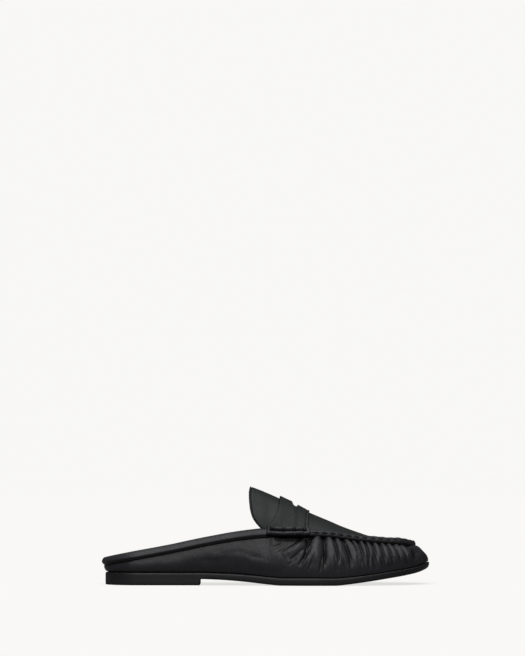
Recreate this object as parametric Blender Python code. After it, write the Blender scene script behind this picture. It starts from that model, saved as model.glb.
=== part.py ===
"""Loafer mule, right shoe, standing empty on its sole.

Metres. +X points to the toe, +Y to the inner side, +Z up. The origin is on the floor under the middle
of the heel. Every piece is worked out from the sizes below: the sole's outline and height, then the
wall of the upper that stands on it, then the apron and tongue that close it over the instep. A place
along the shoe is "at", its share of the sole's length, counted from the sole's back edge.
"""

import math
from collections import namedtuple

import bmesh
import bpy
import numpy as np
from mathutils import Vector

# Sole and heel
SOLE_LENGTH = 0.2485
BALL_WIDTH = 0.0850
SOLE_THICKNESS = 0.0050
TOE_SPRING = 0.0126
HEEL_HEIGHT = 0.0044
HEEL_LENGTH = 0.0726
HEEL_CENTRE = 0.0365
HEEL_ROUND = 0.0285
TOE_ROUND = 0.0750
INSOLE_THICKNESS = 0.0032
HEEL_PAD = 0.0016

# Upper
UPPER_WALL = 0.0020
FEATHER_INSET = 0.0012
WALL_HEIGHT = 0.0335
INSTEP_RISE = 0.0341
SHOULDER = 0.0080
BELLY = 0.0035
TOP_OVERHANG = 0.0008
TOP_HEEL_ROUND = 0.0278
APRON_SETBACK = 0.0135
APRON_ROUND = 0.0450
TONGUE_THICKNESS = 0.0022
TONGUE_TAPER = 0.0036

# Trim on the upper
COLLAR_HEIGHT = 0.0061
COLLAR_PROUD = 0.0010
COLLAR_THICKNESS = 0.0040
STRAP_THICKNESS = 0.0016
ROLL_WIDTH = 0.0084
ROLL_HEIGHT = 0.0040
SEAM_WIDTH = 0.0054
SEAM_HEIGHT = 0.0036
SLOT_LENGTH = 0.0064
SLOT_WIDTH = 0.0260

# Clearances
GAP = 0.0003
SHEET_GAP = 0.0006
INSOLE_GAP = 0.0006

# How finely each piece is divided
STATIONS = 46
WALL_STEPS = 7
ACROSS_STEPS = 20
SHEET_STEPS = 8

OUTER, INNER = -1, 1
UP = Vector((0, 0, 1))

# Places along the shoe, in shares of the sole's length from its back edge: where the tongue, strap and
# rolls begin, where the throat and strap end, how much further back the strap's ends start than its
# middle, and where the sole's edge starts to round under the toe. The last two are shares of a section:
# how far across the tongue reaches, and how far up the wall its slope is measured below the top edge.
Layout = namedtuple("Layout", "tongue throat strap strap_end flare roll toe reach slope")
PLACE = Layout(
    tongue=0.4470, throat=0.5570, strap=0.5400, strap_end=0.6285, flare=0.0370, roll=0.5000, toe=0.90,
    reach=0.9970, slope=0.88,
)

# Sole: half width in halves of BALL_WIDTH, swing of the centre line in BALL_WIDTH, the underside's
# height in heel heights and toe springs, and the thickness in SOLE_THICKNESS.
SoleRow = namedtuple("SoleRow", "at half swing heel spring thick")
SOLE_ROWS = [
    SoleRow(0.000, 0.670, 0.000, 1.00, 0.00, 0.96),
    SoleRow(0.115, 0.670, 0.000, 1.00, 0.00, 0.96),
    SoleRow(0.200, 0.668, -0.008, 1.00, 0.00, 0.96),
    SoleRow(0.295, 0.652, -0.023, 1.00, 0.00, 0.97),
    SoleRow(0.350, 0.652, -0.033, 0.90, 0.00, 0.99),
    SoleRow(0.400, 0.668, -0.040, 0.73, 0.00, 1.05),
    SoleRow(0.450, 0.714, -0.045, 0.48, 0.00, 1.11),
    SoleRow(0.500, 0.780, -0.047, 0.18, 0.00, 1.15),
    SoleRow(0.545, 0.850, -0.044, 0.00, 0.00, 1.16),
    SoleRow(0.600, 0.932, -0.034, 0.00, 0.00, 1.16),
    SoleRow(0.660, 0.988, -0.015, 0.00, 0.00, 1.15),
    SoleRow(0.705, 1.000, 0.002, 0.00, 0.00, 1.12),
    SoleRow(0.740, 1.000, 0.012, 0.00, 0.06, 1.08),
    SoleRow(0.780, 1.000, 0.022, 0.00, 0.16, 1.03),
    SoleRow(0.823, 1.000, 0.033, 0.00, 0.28, 0.99),
    SoleRow(0.866, 1.000, 0.043, 0.00, 0.41, 0.97),
    SoleRow(0.905, 1.000, 0.052, 0.00, 0.53, 0.96),
    SoleRow(0.937, 1.000, 0.059, 0.00, 0.64, 0.96),
    SoleRow(0.962, 1.000, 0.064, 0.00, 0.74, 0.96),
    SoleRow(1.000, 1.000, 0.072, 0.00, 1.00, 0.96),
]

# Top edge of the wall: half width and swing as above, the quarters' height below the collar and the
# apron seam's height, both in WALL_HEIGHT above the sole, and the instep's rise over it in INSTEP_RISE.
TopRow = namedtuple("TopRow", "at half swing quarter seam rise")
TOP_ROWS = [
    TopRow(-0.004, 0.654, 0.000, 0.164, 1.000, 1.040),
    TopRow(0.095, 0.654, 0.000, 0.280, 1.000, 1.040),
    TopRow(0.200, 0.659, -0.004, 0.424, 1.000, 1.040),
    TopRow(0.264, 0.666, -0.008, 0.525, 1.000, 1.040),
    TopRow(0.316, 0.676, -0.011, 0.603, 1.000, 1.040),
    TopRow(0.360, 0.689, -0.014, 0.675, 1.000, 1.040),
    TopRow(0.429, 0.708, -0.019, 0.780, 1.000, 1.040),
    TopRow(0.447, 0.713, -0.021, 0.806, 1.000, 0.984),
    TopRow(0.486, 0.724, -0.023, 0.862, 0.999, 0.901),
    TopRow(0.535, 0.732, -0.024, 0.900, 0.997, 0.776),
    TopRow(0.582, 0.734, -0.023, 0.900, 0.993, 0.622),
    TopRow(0.631, 0.724, -0.019, 0.900, 0.978, 0.464),
    TopRow(0.659, 0.713, -0.015, 0.900, 0.966, 0.392),
    TopRow(0.696, 0.697, -0.008, 0.900, 0.945, 0.303),
    TopRow(0.733, 0.677, 0.001, 0.900, 0.887, 0.239),
    TopRow(0.782, 0.647, 0.013, 0.900, 0.796, 0.158),
    TopRow(0.807, 0.634, 0.019, 0.900, 0.750, 0.119),
    TopRow(0.839, 0.626, 0.027, 0.900, 0.697, 0.085),
    TopRow(0.879, 0.626, 0.038, 0.900, 0.621, 0.070),
    TopRow(0.920, 0.626, 0.048, 0.900, 0.534, 0.050),
    TopRow(0.946, 0.626, 0.056, 0.900, 0.452, 0.000),
]

# The wall's section: how far it stands in at the foot, out at its belly and out at its shoulder, in
# FEATHER_INSET, BELLY and SHOULDER, and how far below its top edge the shoulder lies, in its height.
WallRow = namedtuple("WallRow", "at inset belly shoulder drop")
WALL_ROWS = [
    WallRow(0.00, 0.70, 0.50, 0.08, 0.35),
    WallRow(0.10, 0.70, 0.55, 0.10, 0.35),
    WallRow(0.30, 0.50, 0.85, 0.20, 0.35),
    WallRow(0.45, 0.50, 1.00, 0.38, 0.35),
    WallRow(0.55, 0.70, 0.85, 0.56, 0.30),
    WallRow(0.65, 0.85, 0.63, 0.82, 0.22),
    WallRow(0.80, 1.00, 0.45, 1.00, 0.17),
    WallRow(0.92, 1.00, 0.28, 0.96, 0.15),
    WallRow(1.00, 0.95, 0.24, 1.00, 0.07),
]

# The tongue's free edge from its crown (0) down to the collar (1): how far it lies in front of
# the tongue's own place, in shares of the sole's length.
TongueRow = namedtuple("TongueRow", "at ahead")
TONGUE_ROWS = [
    TongueRow(0.00, 0.0000),
    TongueRow(0.12, -0.0040),
    TongueRow(0.27, -0.0048),
    TongueRow(0.50, -0.0030),
    TongueRow(0.72, 0.0045),
    TongueRow(0.86, 0.0145),
    TongueRow(1.00, 0.0310),
]

# The collar's height round the quarters, in COLLAR_HEIGHT.
CollarRow = namedtuple("CollarRow", "at height")
COLLAR_ROWS = [CollarRow(0.00, 0.88), CollarRow(0.10, 1.00), CollarRow(0.20, 1.00), CollarRow(0.50, 1.04)]


def fitted(rows, column):
    """A smooth curve through one column of a table, level where two rows are level."""
    at = np.array([row.at for row in rows])
    value = np.array([getattr(row, column) for row in rows])
    step = np.diff(at)
    pitch = np.diff(value) / step
    slope = np.zeros(len(at))
    slope[0], slope[-1] = pitch[0], pitch[-1]
    for i in range(1, len(at) - 1):
        if pitch[i - 1] * pitch[i] > 0:
            before = 2 * step[i] + step[i - 1]
            after = step[i] + 2 * step[i - 1]
            slope[i] = (before + after) / (before / pitch[i - 1] + after / pitch[i])

    def value_at(place):
        place = min(max(place, at[0]), at[-1])
        i = min(int(np.searchsorted(at, place, side="right")) - 1, len(step) - 1)
        t = (place - at[i]) / step[i]
        ends = (1 + 2 * t) * (1 - t) ** 2 * value[i] + t * t * (3 - 2 * t) * value[i + 1]
        bend = t * (1 - t) ** 2 * slope[i] - t * t * (1 - t) * slope[i + 1]
        return float(ends + step[i] * bend)

    return value_at


sole_half = fitted(SOLE_ROWS, "half")
sole_swing = fitted(SOLE_ROWS, "swing")
sole_heel = fitted(SOLE_ROWS, "heel")
sole_spring = fitted(SOLE_ROWS, "spring")
sole_thick = fitted(SOLE_ROWS, "thick")
top_half = fitted(TOP_ROWS, "half")
top_swing = fitted(TOP_ROWS, "swing")
quarter_height = fitted(TOP_ROWS, "quarter")
seam_height = fitted(TOP_ROWS, "seam")
instep_rise = fitted(TOP_ROWS, "rise")
wall_inset = fitted(WALL_ROWS, "inset")
wall_belly = fitted(WALL_ROWS, "belly")
wall_shoulder = fitted(WALL_ROWS, "shoulder")
wall_drop = fitted(WALL_ROWS, "drop")
tongue_ahead = fitted(TONGUE_ROWS, "ahead")
collar_share = fitted(COLLAR_ROWS, "height")

APRON_FRONT = 1 - APRON_SETBACK / SOLE_LENGTH
TOP_BACK = -TOP_OVERHANG / SOLE_LENGTH
HEEL_FRONT = HEEL_LENGTH / SOLE_LENGTH
ROLL_RAMP = 0.4 * (PLACE.throat - PLACE.roll)


def along(at):
    """X of a place along the shoe."""
    return at * SOLE_LENGTH - HEEL_CENTRE


def share(x):
    """The place along the shoe at X."""
    return (x + HEEL_CENTRE) / SOLE_LENGTH


def eased(t):
    t = min(max(t, 0.0), 1.0)
    return t * t * (3 - 2 * t)


def round_end(reach, radius, power):
    """The share of its full width that an outline has at this distance from its round end."""
    if reach >= radius:
        return 1.0
    return math.sqrt(max(0.0, 1 - (1 - max(reach, 0.0) / radius) ** power))


def underside(at):
    """Height of the outsole's underside: the heel seat, the tread on the floor, then the toe spring."""
    return sole_heel(at) * (HEEL_HEIGHT + GAP) + sole_spring(at) * TOE_SPRING


def sole_top(at):
    return underside(at) + sole_thick(at) * SOLE_THICKNESS


def sole_edge(at, side):
    """The outsole's outline on one side, seen from above."""
    half = BALL_WIDTH / 2 * sole_half(at)
    half *= round_end(at * SOLE_LENGTH, HEEL_ROUND, 2.0)
    half *= round_end((1 - at) * SOLE_LENGTH, TOE_ROUND, 2.2)
    return Vector((along(at), BALL_WIDTH * sole_swing(at) + side * half, 0))


def outward(at, side):
    """The level direction out of the outsole's outline."""
    if at <= 0 or at >= 1:
        return Vector((-1 if at <= 0 else 1, 0, 0))
    step = min(0.001, at / 2, (1 - at) / 2)
    run = sole_edge(at + step, side) - sole_edge(at - step, side)
    return (run.cross(UP) * -side).normalized()


def top_at(at):
    """The place of the wall's top edge above a place on the sole: it falls back towards the toe."""
    forward = max(0.0, at - 0.5) / 0.5
    backward = max(0.0, 1 - at / 0.12)
    return at - (1 - APRON_FRONT) * forward**2 + TOP_BACK * backward


def seat_height(place):
    """Height of the seam that the apron, tongue and strap rise from."""
    return sole_top(place) + GAP + seam_height(place) * WALL_HEIGHT


def top_height(place):
    """Height of the wall's top edge: below the collar at the back, at the apron seam in front."""
    quarter = sole_top(place) + GAP + quarter_height(place) * WALL_HEIGHT
    return quarter + (seat_height(place) - quarter) * eased((place - PLACE.roll) / ROLL_RAMP)


def half_at(place):
    """Half width between the wall's top edges."""
    half = BALL_WIDTH / 2 * top_half(place)
    half *= round_end((place - TOP_BACK) * SOLE_LENGTH, TOP_HEEL_ROUND, 2.0)
    return half * round_end((APRON_FRONT - place) * SOLE_LENGTH, APRON_ROUND, 2.3)


def top_edge(place, side):
    """The wall's top edge on one side."""
    y = BALL_WIDTH * top_swing(place) + side * half_at(place)
    return Vector((along(place), y, top_height(place)))


def wall(at, side, rise):
    """A point on the wall's outer face, from the sole at rise 0 to its top edge at rise 1."""
    out = outward(at, side)
    foot = sole_edge(at, side) - out * (FEATHER_INSET * wall_inset(at))
    foot.z = sole_top(share(foot.x)) + GAP
    top = top_edge(top_at(at), side)
    height = top.z - foot.z
    belly = foot + out * (BELLY * wall_belly(at)) + UP * (0.4 * height)
    shoulder = top + out * (SHOULDER * wall_shoulder(at)) - UP * (wall_drop(at) * height)
    back = 1 - rise
    points = foot * back**3 + belly * (3 * back**2 * rise)
    return points + shoulder * (3 * back * rise**2) + top * rise**3


def instep(place, across, taper=0.0):
    """A point over the instep, from the outer seam at across -1 to the inner seam at across 1."""
    half = half_at(place)
    y = BALL_WIDTH * top_swing(place) + across * (half - taper)
    rise = INSTEP_RISE * instep_rise(place)
    if 0 < rise < half:
        radius = (half**2 + rise**2) / (2 * rise)
        rise = math.sqrt(radius**2 - (across * half) ** 2) - (radius - rise)
    else:
        rise *= math.sqrt(max(0.0, 1 - across**2))
    return Vector((along(place), y, seat_height(place) + rise))


def instep_normal(place, across, taper=0.0):
    """The direction out of the instep."""
    step = 0.004
    ahead = instep(place + step, across, taper) - instep(place - step, across, taper)
    inner = min(across + step, 1.0)
    outer = max(across - step, -1.0)
    sideways = instep(place, inner, taper) - instep(place, outer, taper)
    return ahead.cross(sideways).normalized()


def even_places(count):
    """Places along the shoe, evenly spaced round the outer edge of the sole."""
    fine = [0.5 - 0.5 * math.cos(math.pi * i / 400) for i in range(401)]
    edge = [sole_edge(at, OUTER) for at in fine]
    run = np.cumsum([0.0] + [(b - a).length for a, b in zip(edge, edge[1:])])
    return [float(np.interp(run[-1] * i / count, run, fine)) for i in range(count + 1)]


def under(place):
    """The place on the sole whose section has its top edge at this place."""
    low, high = 0.0, 1.0
    for _ in range(40):
        middle = (low + high) / 2
        if top_at(middle) < place:
            low = middle
        else:
            high = middle
    return low


def upper_places():
    """The upper's sections: even ones, the nearest moved to the rolls' back edge and the throat."""
    places = even_places(STATIONS)
    for place in (PLACE.roll, PLACE.roll + ROLL_RAMP, PLACE.throat):
        nearest = min(range(len(places)), key=lambda i: abs(places[i] - under(place)))
        places[nearest] = under(place)
    return places, nearest


def across_places():
    """Places across the instep from -1 to 1, closer together where it is steep."""
    return [math.sin(math.pi / 2 * (2 * i / ACROSS_STEPS - 1)) for i in range(ACROSS_STEPS + 1)]


def material(name, colour, roughness):
    made = bpy.data.materials.new(name)
    made.use_nodes = True
    shader = made.node_tree.nodes["Principled BSDF"]
    shader.inputs["Base Color"].default_value = (*colour, 1)
    shader.inputs["Roughness"].default_value = roughness
    shader.inputs["Metallic"].default_value = 0.0
    return made


def finished(name, bm, finish):
    """A closed mesh as a named object with its finish."""
    bmesh.ops.remove_doubles(bm, verts=bm.verts, dist=1e-6)
    bmesh.ops.dissolve_degenerate(bm, edges=bm.edges, dist=1e-6)
    bmesh.ops.holes_fill(bm, edges=bm.edges, sides=0)
    bmesh.ops.recalc_face_normals(bm, faces=bm.faces)
    mesh = bpy.data.meshes.new(name)
    bm.to_mesh(mesh)
    bm.free()
    mesh.shade_smooth()
    mesh.set_sharp_from_angle(angle=math.radians(50))
    mesh.materials.append(finish)
    obj = bpy.data.objects.new(name, mesh)
    bpy.context.scene.collection.objects.link(obj)
    return obj


def lofted(name, sections, finish):
    """A solid through closed sections of equal count. Each section is a list of points."""
    bm = bmesh.new()
    count, around = len(sections), len(sections[0])
    bmesh.ops.create_grid(bm, x_segments=count - 1, y_segments=around, size=0.5)
    for vert in bm.verts:
        row = round((vert.co.x + 0.5) * (count - 1))
        point = round((vert.co.y + 0.5) * around) % around
        vert.co = sections[row][point]
    return finished(name, bm, finish)


def make_outsole(finish):
    """The outsole: its edge is trimmed a little round, and rounder under the toe."""
    sections = []
    for at in even_places(STATIONS):
        toe = eased((at - PLACE.toe) / (1 - PLACE.toe))
        low = 0.0009 + 0.0029 * toe
        edge = [(low, 0.0), (low * 0.35, 0.20 + 0.10 * toe), (0.0, 0.62), (0.0005, 1.0)]
        sides = {}
        for side in (OUTER, INNER):
            out = outward(at, side)
            sides[side] = []
            for inset, rise in edge:
                point = sole_edge(at, side) - out * inset
                place = share(point.x)
                point.z = underside(place) + rise * sole_thick(place) * SOLE_THICKNESS
                sides[side].append(point)
        sections.append(sides[OUTER] + sides[INNER][::-1])
    return lofted("outsole", sections, finish)


def make_heel(finish):
    """The heel block: the outsole's own outline down to the floor, cut straight at its breast."""
    sections = []
    places = [at for at in even_places(STATIONS) if at < HEEL_FRONT - 0.005] + [HEEL_FRONT]
    for at in places:
        section = []
        for side, rises in ((OUTER, (0, 0.1, 1)), (INNER, (1, 0.1, 0))):
            for rise in rises:
                inset = 0.0007 if rise == 0 else 0.0002
                point = sole_edge(at, side) - outward(at, side) * inset
                point.x = min(point.x, along(HEEL_FRONT))
                point.z = rise * HEEL_HEIGHT
                section.append(point)
        sections.append(section)
    return lofted("heel", sections, finish)


def make_insole(finish):
    """The footbed, inside the wall, thicker under the heel."""
    sections = []
    rim = [(0.0, 0.0), (0.0, 0.6), (0.0008, 1.0)]
    for at in even_places(STATIONS):
        section = []
        for side, edge in ((OUTER, rim), (INNER, rim[::-1])):
            out = outward(at, side)
            inset = FEATHER_INSET * wall_inset(at) + UPPER_WALL + INSOLE_GAP
            for more, rise in edge:
                point = sole_edge(at, side) - out * (inset + more)
                place = share(point.x)
                thick = INSOLE_THICKNESS + HEEL_PAD * (1 - eased((place - 0.25) / 0.2))
                point.z = sole_top(place) + GAP + rise * thick
                section.append(point)
        sections.append(section)
    return lofted("insole", sections, finish)


def leather(name, bm, thickness, offset, finish):
    """An open sheet as a named object, given its thickness out of its outer face or into it."""
    bmesh.ops.remove_doubles(bm, verts=bm.verts, dist=1e-6)
    bmesh.ops.dissolve_degenerate(bm, edges=bm.edges, dist=1e-6)
    bmesh.ops.recalc_face_normals(bm, faces=bm.faces)
    if sum(face.normal.z * face.calc_area() for face in bm.faces) < 0:
        bmesh.ops.reverse_faces(bm, faces=bm.faces)
    mesh = bpy.data.meshes.new(name)
    bm.to_mesh(mesh)
    bm.free()
    mesh.shade_smooth()
    mesh.materials.append(finish)
    obj = bpy.data.objects.new(name, mesh)
    bpy.context.scene.collection.objects.link(obj)
    solid = obj.modifiers.new("thickness", "SOLIDIFY")
    solid.thickness = thickness
    solid.offset = offset
    solid.use_even_offset = True
    return obj


def make_upper(finish):
    """The upper: the wall round the shoe and the apron over the toes, one sheet given its thickness."""
    places, throat = upper_places()
    apron = across_places()
    rises = [i / WALL_STEPS for i in range(WALL_STEPS + 1)]
    girth = 2 * WALL_STEPS + ACROSS_STEPS
    bm = bmesh.new()
    bmesh.ops.create_grid(bm, x_segments=len(places) - 1, y_segments=girth, size=0.5)
    opening = []
    for vert in bm.verts:
        row = round((vert.co.x + 0.5) * (len(places) - 1))
        column = round((vert.co.y + 0.5) * girth)
        at = places[row]
        if column <= WALL_STEPS:
            vert.co = wall(at, OUTER, rises[column])
        elif column >= girth - WALL_STEPS:
            vert.co = wall(at, INNER, rises[girth - column])
        else:
            vert.co = instep(top_at(at), apron[column - WALL_STEPS])
            if row < throat:
                opening.append(vert)
    bmesh.ops.delete(bm, geom=opening, context="VERTS")
    return leather("upper", bm, UPPER_WALL, -1, finish)


def sheet(name, back, front, reach, lift, thickness, offset, finish, taper=None):
    """A bent sheet on the instep between its back and front edges, as far across as its reach."""
    across = across_places()
    bm = bmesh.new()
    bmesh.ops.create_grid(bm, x_segments=SHEET_STEPS, y_segments=ACROSS_STEPS, size=0.5)
    for vert in bm.verts:
        a = across[round((vert.co.y + 0.5) * ACROSS_STEPS)]
        place = back(abs(a)) + (front(abs(a)) - back(abs(a))) * (vert.co.x + 0.5)
        angle = math.asin(a) * math.asin(reach(place)) / (math.pi / 2)
        narrower = taper(place) if taper else 0.0
        point = instep(place, math.sin(angle), narrower)
        vert.co = point + instep_normal(place, math.sin(angle), narrower) * lift
    return leather(name, bm, thickness, offset, finish)


def make_tongue(finish):
    """The tongue: a rounded tab that carries the apron's surface on, narrower inside the collar."""

    def back(across):
        return PLACE.tongue + tongue_ahead(1 - math.sqrt(1 - across**2))

    def front(across):
        return PLACE.throat - SHEET_GAP / SOLE_LENGTH

    def reach(place):
        return PLACE.reach

    def taper(place):
        return TONGUE_TAPER * eased((PLACE.throat - place) / (PLACE.throat - PLACE.roll))

    return sheet("tongue", back, front, reach, 0.0, TONGUE_THICKNESS, -1, finish, taper)


def make_strap(finish):
    """The saddle strap: it widens backwards towards its rolls, with a slot cut through its middle."""

    def back(across):
        return PLACE.strap - PLACE.flare * (1 - math.sqrt(1 - across**2)) ** 2.2

    def front(across):
        return PLACE.strap_end - 0.0025 * across**2

    def reach(place):
        edge = instep(place, 1.0)
        for across in np.linspace(0.999, 0.5, 400):
            if (instep(place, across) - edge).length >= ROLL_WIDTH / 2 + 2 * GAP:
                return float(across)
        return 0.5

    strap = sheet("saddle_strap", back, front, reach, SHEET_GAP, STRAP_THICKNESS, 1, finish)
    slot = strap.modifiers.new("penny slot", "BOOLEAN")
    slot.operation = "DIFFERENCE"
    slot.solver = "EXACT"
    slot.object = make_slot_cutter()
    return strap


def make_slot_cutter():
    """The cutter for the penny slot: a lens across the strap, with a small diamond in its middle."""
    centre = PLACE.strap + 0.55 * (PLACE.strap_end - PLACE.strap)
    middle = instep(centre, 0.0)
    bm = bmesh.new()
    outline = []
    for end in (1, -1):
        for i in range(8):
            turn = math.pi * i / 8
            y = end * math.cos(turn) * SLOT_WIDTH / 2
            lens = math.sin(turn) ** 0.8 * SLOT_LENGTH * 0.36
            diamond = max(0.0, SLOT_LENGTH / 2 - abs(y) * 0.7)
            outline.append((-end * max(lens, diamond), y))
    ring = [bm.verts.new((middle.x + x, middle.y + y, middle.z - 0.02)) for x, y in outline]
    face = bm.faces.new(ring)
    risen = bmesh.ops.extrude_face_region(bm, geom=[face])
    moved = [item for item in risen["geom"] if isinstance(item, bmesh.types.BMVert)]
    bmesh.ops.translate(bm, verts=moved, vec=(0, 0, 0.04))
    cutter = finished("slot_cutter", bm, None)
    cutter.hide_render = True
    cutter.display_type = "WIRE"
    return cutter


def cord_section(centre, out, across, half, height, seat):
    """A D-shaped section standing on its flat side: five points round and two at the foot."""
    shape = [(-1.0, 0.0), (-1.0, 0.42), (-0.62, 0.86), (0.0, 1.0), (0.62, 0.86), (1.0, 0.42), (1.0, 0.0)]
    return [centre + across * (a * half) + out * (seat + h * height) for a, h in shape]


def over(point):
    """The point of the instep above or below this one."""
    place = share(point.x)
    half = half_at(place)
    across = (point.y - BALL_WIDTH * top_swing(place)) / half if half > 0 else 0.0
    return instep(place, min(max(across, -1.0), 1.0))


def edge_frame(at, side):
    """The wall's top edge with the directions out of the surface there and up across it."""
    step = 0.002
    ahead = instep(top_at(min(at + step, 1.0)), side) - instep(top_at(max(at - step, 0.0)), side)
    if at >= 1 - step:
        ahead = Vector((0, 1, 0)) * -side
    level = (ahead.cross(UP) * -side).normalized()
    edge = instep(top_at(at), side)
    below = wall(at, side, PLACE.slope) - wall(at, side, 1.0)
    above = over(edge - level * 0.0025) - edge
    across = above.normalized() - below.normalized()
    out = ahead.cross(across).normalized()
    if out.dot(level) < 0:
        out = -out
    return edge, out, out.cross(ahead).normalized() * -side


def make_seam(finish):
    """The raised moccasin seam: from the front of one strap roll round the toe to the other."""
    front = under(PLACE.strap_end + GAP / SOLE_LENGTH)
    places = [front] + [at for at in even_places(STATIONS) if at > front + 0.008]
    sections = []
    for side, order in ((OUTER, places), (INNER, places[-2::-1])):
        for at in order:
            centre, out, across = edge_frame(at, side)
            sections.append(cord_section(centre, out, across, SEAM_WIDTH / 2, SEAM_HEIGHT, SHEET_GAP))
    return lofted("apron_seam", sections, finish)


def make_roll(name, side, finish):
    """The roll where the strap's end is folded and stitched down on the seam."""
    sections = []
    steps = 8
    for i in range(steps + 1):
        place = PLACE.roll + (PLACE.strap_end - PLACE.roll) * i / steps
        centre, out, across = edge_frame(under(place), side)
        sections.append(cord_section(centre, out, across, ROLL_WIDTH / 2, ROLL_HEIGHT, SHEET_GAP))
    return lofted(name, sections, finish)


def make_collar(finish):
    """The collar: a soft roll on the top edge of the quarters, round the heel from roll to roll."""
    places = [at for at in even_places(STATIONS) if at < PLACE.roll - 0.01] + [PLACE.roll - GAP / SOLE_LENGTH]
    outer = [(0.75, 0.0), (1.0, 0.22), (1.0, 0.68), (0.72, 0.93)]
    shape = outer + [(0.5, 1.0)] + [(1 - depth, rise) for depth, rise in outer[::-1]]
    sections = []
    for side, order in ((OUTER, places[::-1]), (INNER, places[1:])):
        for at in order:
            out = outward(at, side)
            foot = wall(at, side, 1.0)
            section = []
            for depth, rise in shape:
                proud = COLLAR_PROUD - COLLAR_THICKNESS * (1 - depth)
                height = GAP + rise * COLLAR_HEIGHT * collar_share(at)
                section.append(foot + out * proud + UP * height)
            sections.append(section)
    return lofted("collar", sections, finish)


def main():
    for obj in list(bpy.data.objects):
        bpy.data.objects.remove(obj, do_unlink=True)
    creased = material("creased_leather", (0.012, 0.012, 0.013), 0.28)
    smooth = material("smooth_leather", (0.022, 0.023, 0.023), 0.48)
    lining = material("lining_leather", (0.016, 0.016, 0.016), 0.55)
    sole = material("sole_leather", (0.015, 0.015, 0.017), 0.42)
    rubber = material("heel_rubber", (0.015, 0.015, 0.018), 0.45)
    make_outsole(sole)
    make_heel(rubber)
    make_insole(lining)
    make_upper(creased)
    make_tongue(smooth)
    make_collar(creased)
    make_seam(creased)
    make_strap(smooth)
    make_roll("strap_roll_outer", OUTER, smooth)
    make_roll("strap_roll_inner", INNER, smooth)


main()
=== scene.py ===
"""Loafer mule, dressed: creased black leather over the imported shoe, metres, toe to +X, inner side to +Y.

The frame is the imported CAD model. The shape of the last is repeated here from its own sizes, so that each
piece can be made finely: the wall with its pleats, the apron, tongue, strap, rolls, seam and collar.
A place along the shoe is "at", its share of the sole's length, counted from the sole's back edge.
"""

import math
from collections import namedtuple

import bmesh
import bpy
import numpy as np
from bpy.props import FloatProperty, FloatVectorProperty, PointerProperty
from mathutils import Euler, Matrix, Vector, noise


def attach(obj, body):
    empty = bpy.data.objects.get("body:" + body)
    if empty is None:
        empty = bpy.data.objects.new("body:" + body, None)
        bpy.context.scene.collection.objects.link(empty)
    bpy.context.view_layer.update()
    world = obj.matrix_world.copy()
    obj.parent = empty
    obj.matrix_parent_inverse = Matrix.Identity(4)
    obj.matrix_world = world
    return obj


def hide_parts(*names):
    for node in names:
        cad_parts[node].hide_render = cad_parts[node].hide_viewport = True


bl_info = {
    "name": "Loafer mule",
    "version": (1, 0, 0),
    "blender": (4, 5, 0),
    "location": "3D View > Sidebar > Loafer",
    "description": "A creased black leather loafer mule over its packed frame, with a studio stage",
    "category": "Add Mesh",
}

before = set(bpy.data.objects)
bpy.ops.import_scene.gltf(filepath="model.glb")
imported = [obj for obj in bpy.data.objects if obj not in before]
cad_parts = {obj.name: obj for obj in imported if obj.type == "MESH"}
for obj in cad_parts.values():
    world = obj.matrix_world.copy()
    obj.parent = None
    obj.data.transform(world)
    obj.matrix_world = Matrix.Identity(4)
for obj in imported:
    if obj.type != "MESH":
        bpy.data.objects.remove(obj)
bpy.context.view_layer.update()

# The last and the sole
SOLE_LENGTH = 0.2485
BALL_WIDTH = 0.0850
SOLE_THICKNESS = 0.0050
TOE_SPRING = 0.0126
HEEL_HEIGHT = 0.0044
HEEL_LENGTH = 0.0726
HEEL_CENTRE = 0.0365
HEEL_ROUND = 0.0285
TOE_ROUND = 0.0750
INSOLE_THICKNESS = 0.0032
HEEL_PAD = 0.0016
UPPER_WALL = 0.0020
FEATHER_INSET = 0.0012
WALL_HEIGHT = 0.0335
INSTEP_RISE = 0.0341
SHOULDER = 0.0080
BELLY = 0.0035
TOP_OVERHANG = 0.0008
TOP_HEEL_ROUND = 0.0278
APRON_SETBACK = 0.0135
APRON_ROUND = 0.0450
TONGUE_TAPER = 0.0036
TONGUE_BACK = 0.4470
TONGUE_REACH = 0.9970
THROAT = 0.5570
COLLAR_HEIGHT = 0.0061
COLLAR_PROUD = 0.0010
COLLAR_THICKNESS = 0.0040
STRAP_BACK = 0.5400
STRAP_FRONT = 0.6285
STRAP_FLARE = 0.0370
ROLL_BACK = 0.5000
ROLL_WIDTH = 0.0084
SEAM_WIDTH = 0.0054
SLOT_LENGTH = 0.0064
SLOT_WIDTH = 0.0260
GAP = 0.0003
SHEET_GAP = 0.0006
INSOLE_GAP = 0.0006

OUTER, INNER = -1.0, 1.0
MM = 0.001
UP = np.array([0.0, 0.0, 1.0])

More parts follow.
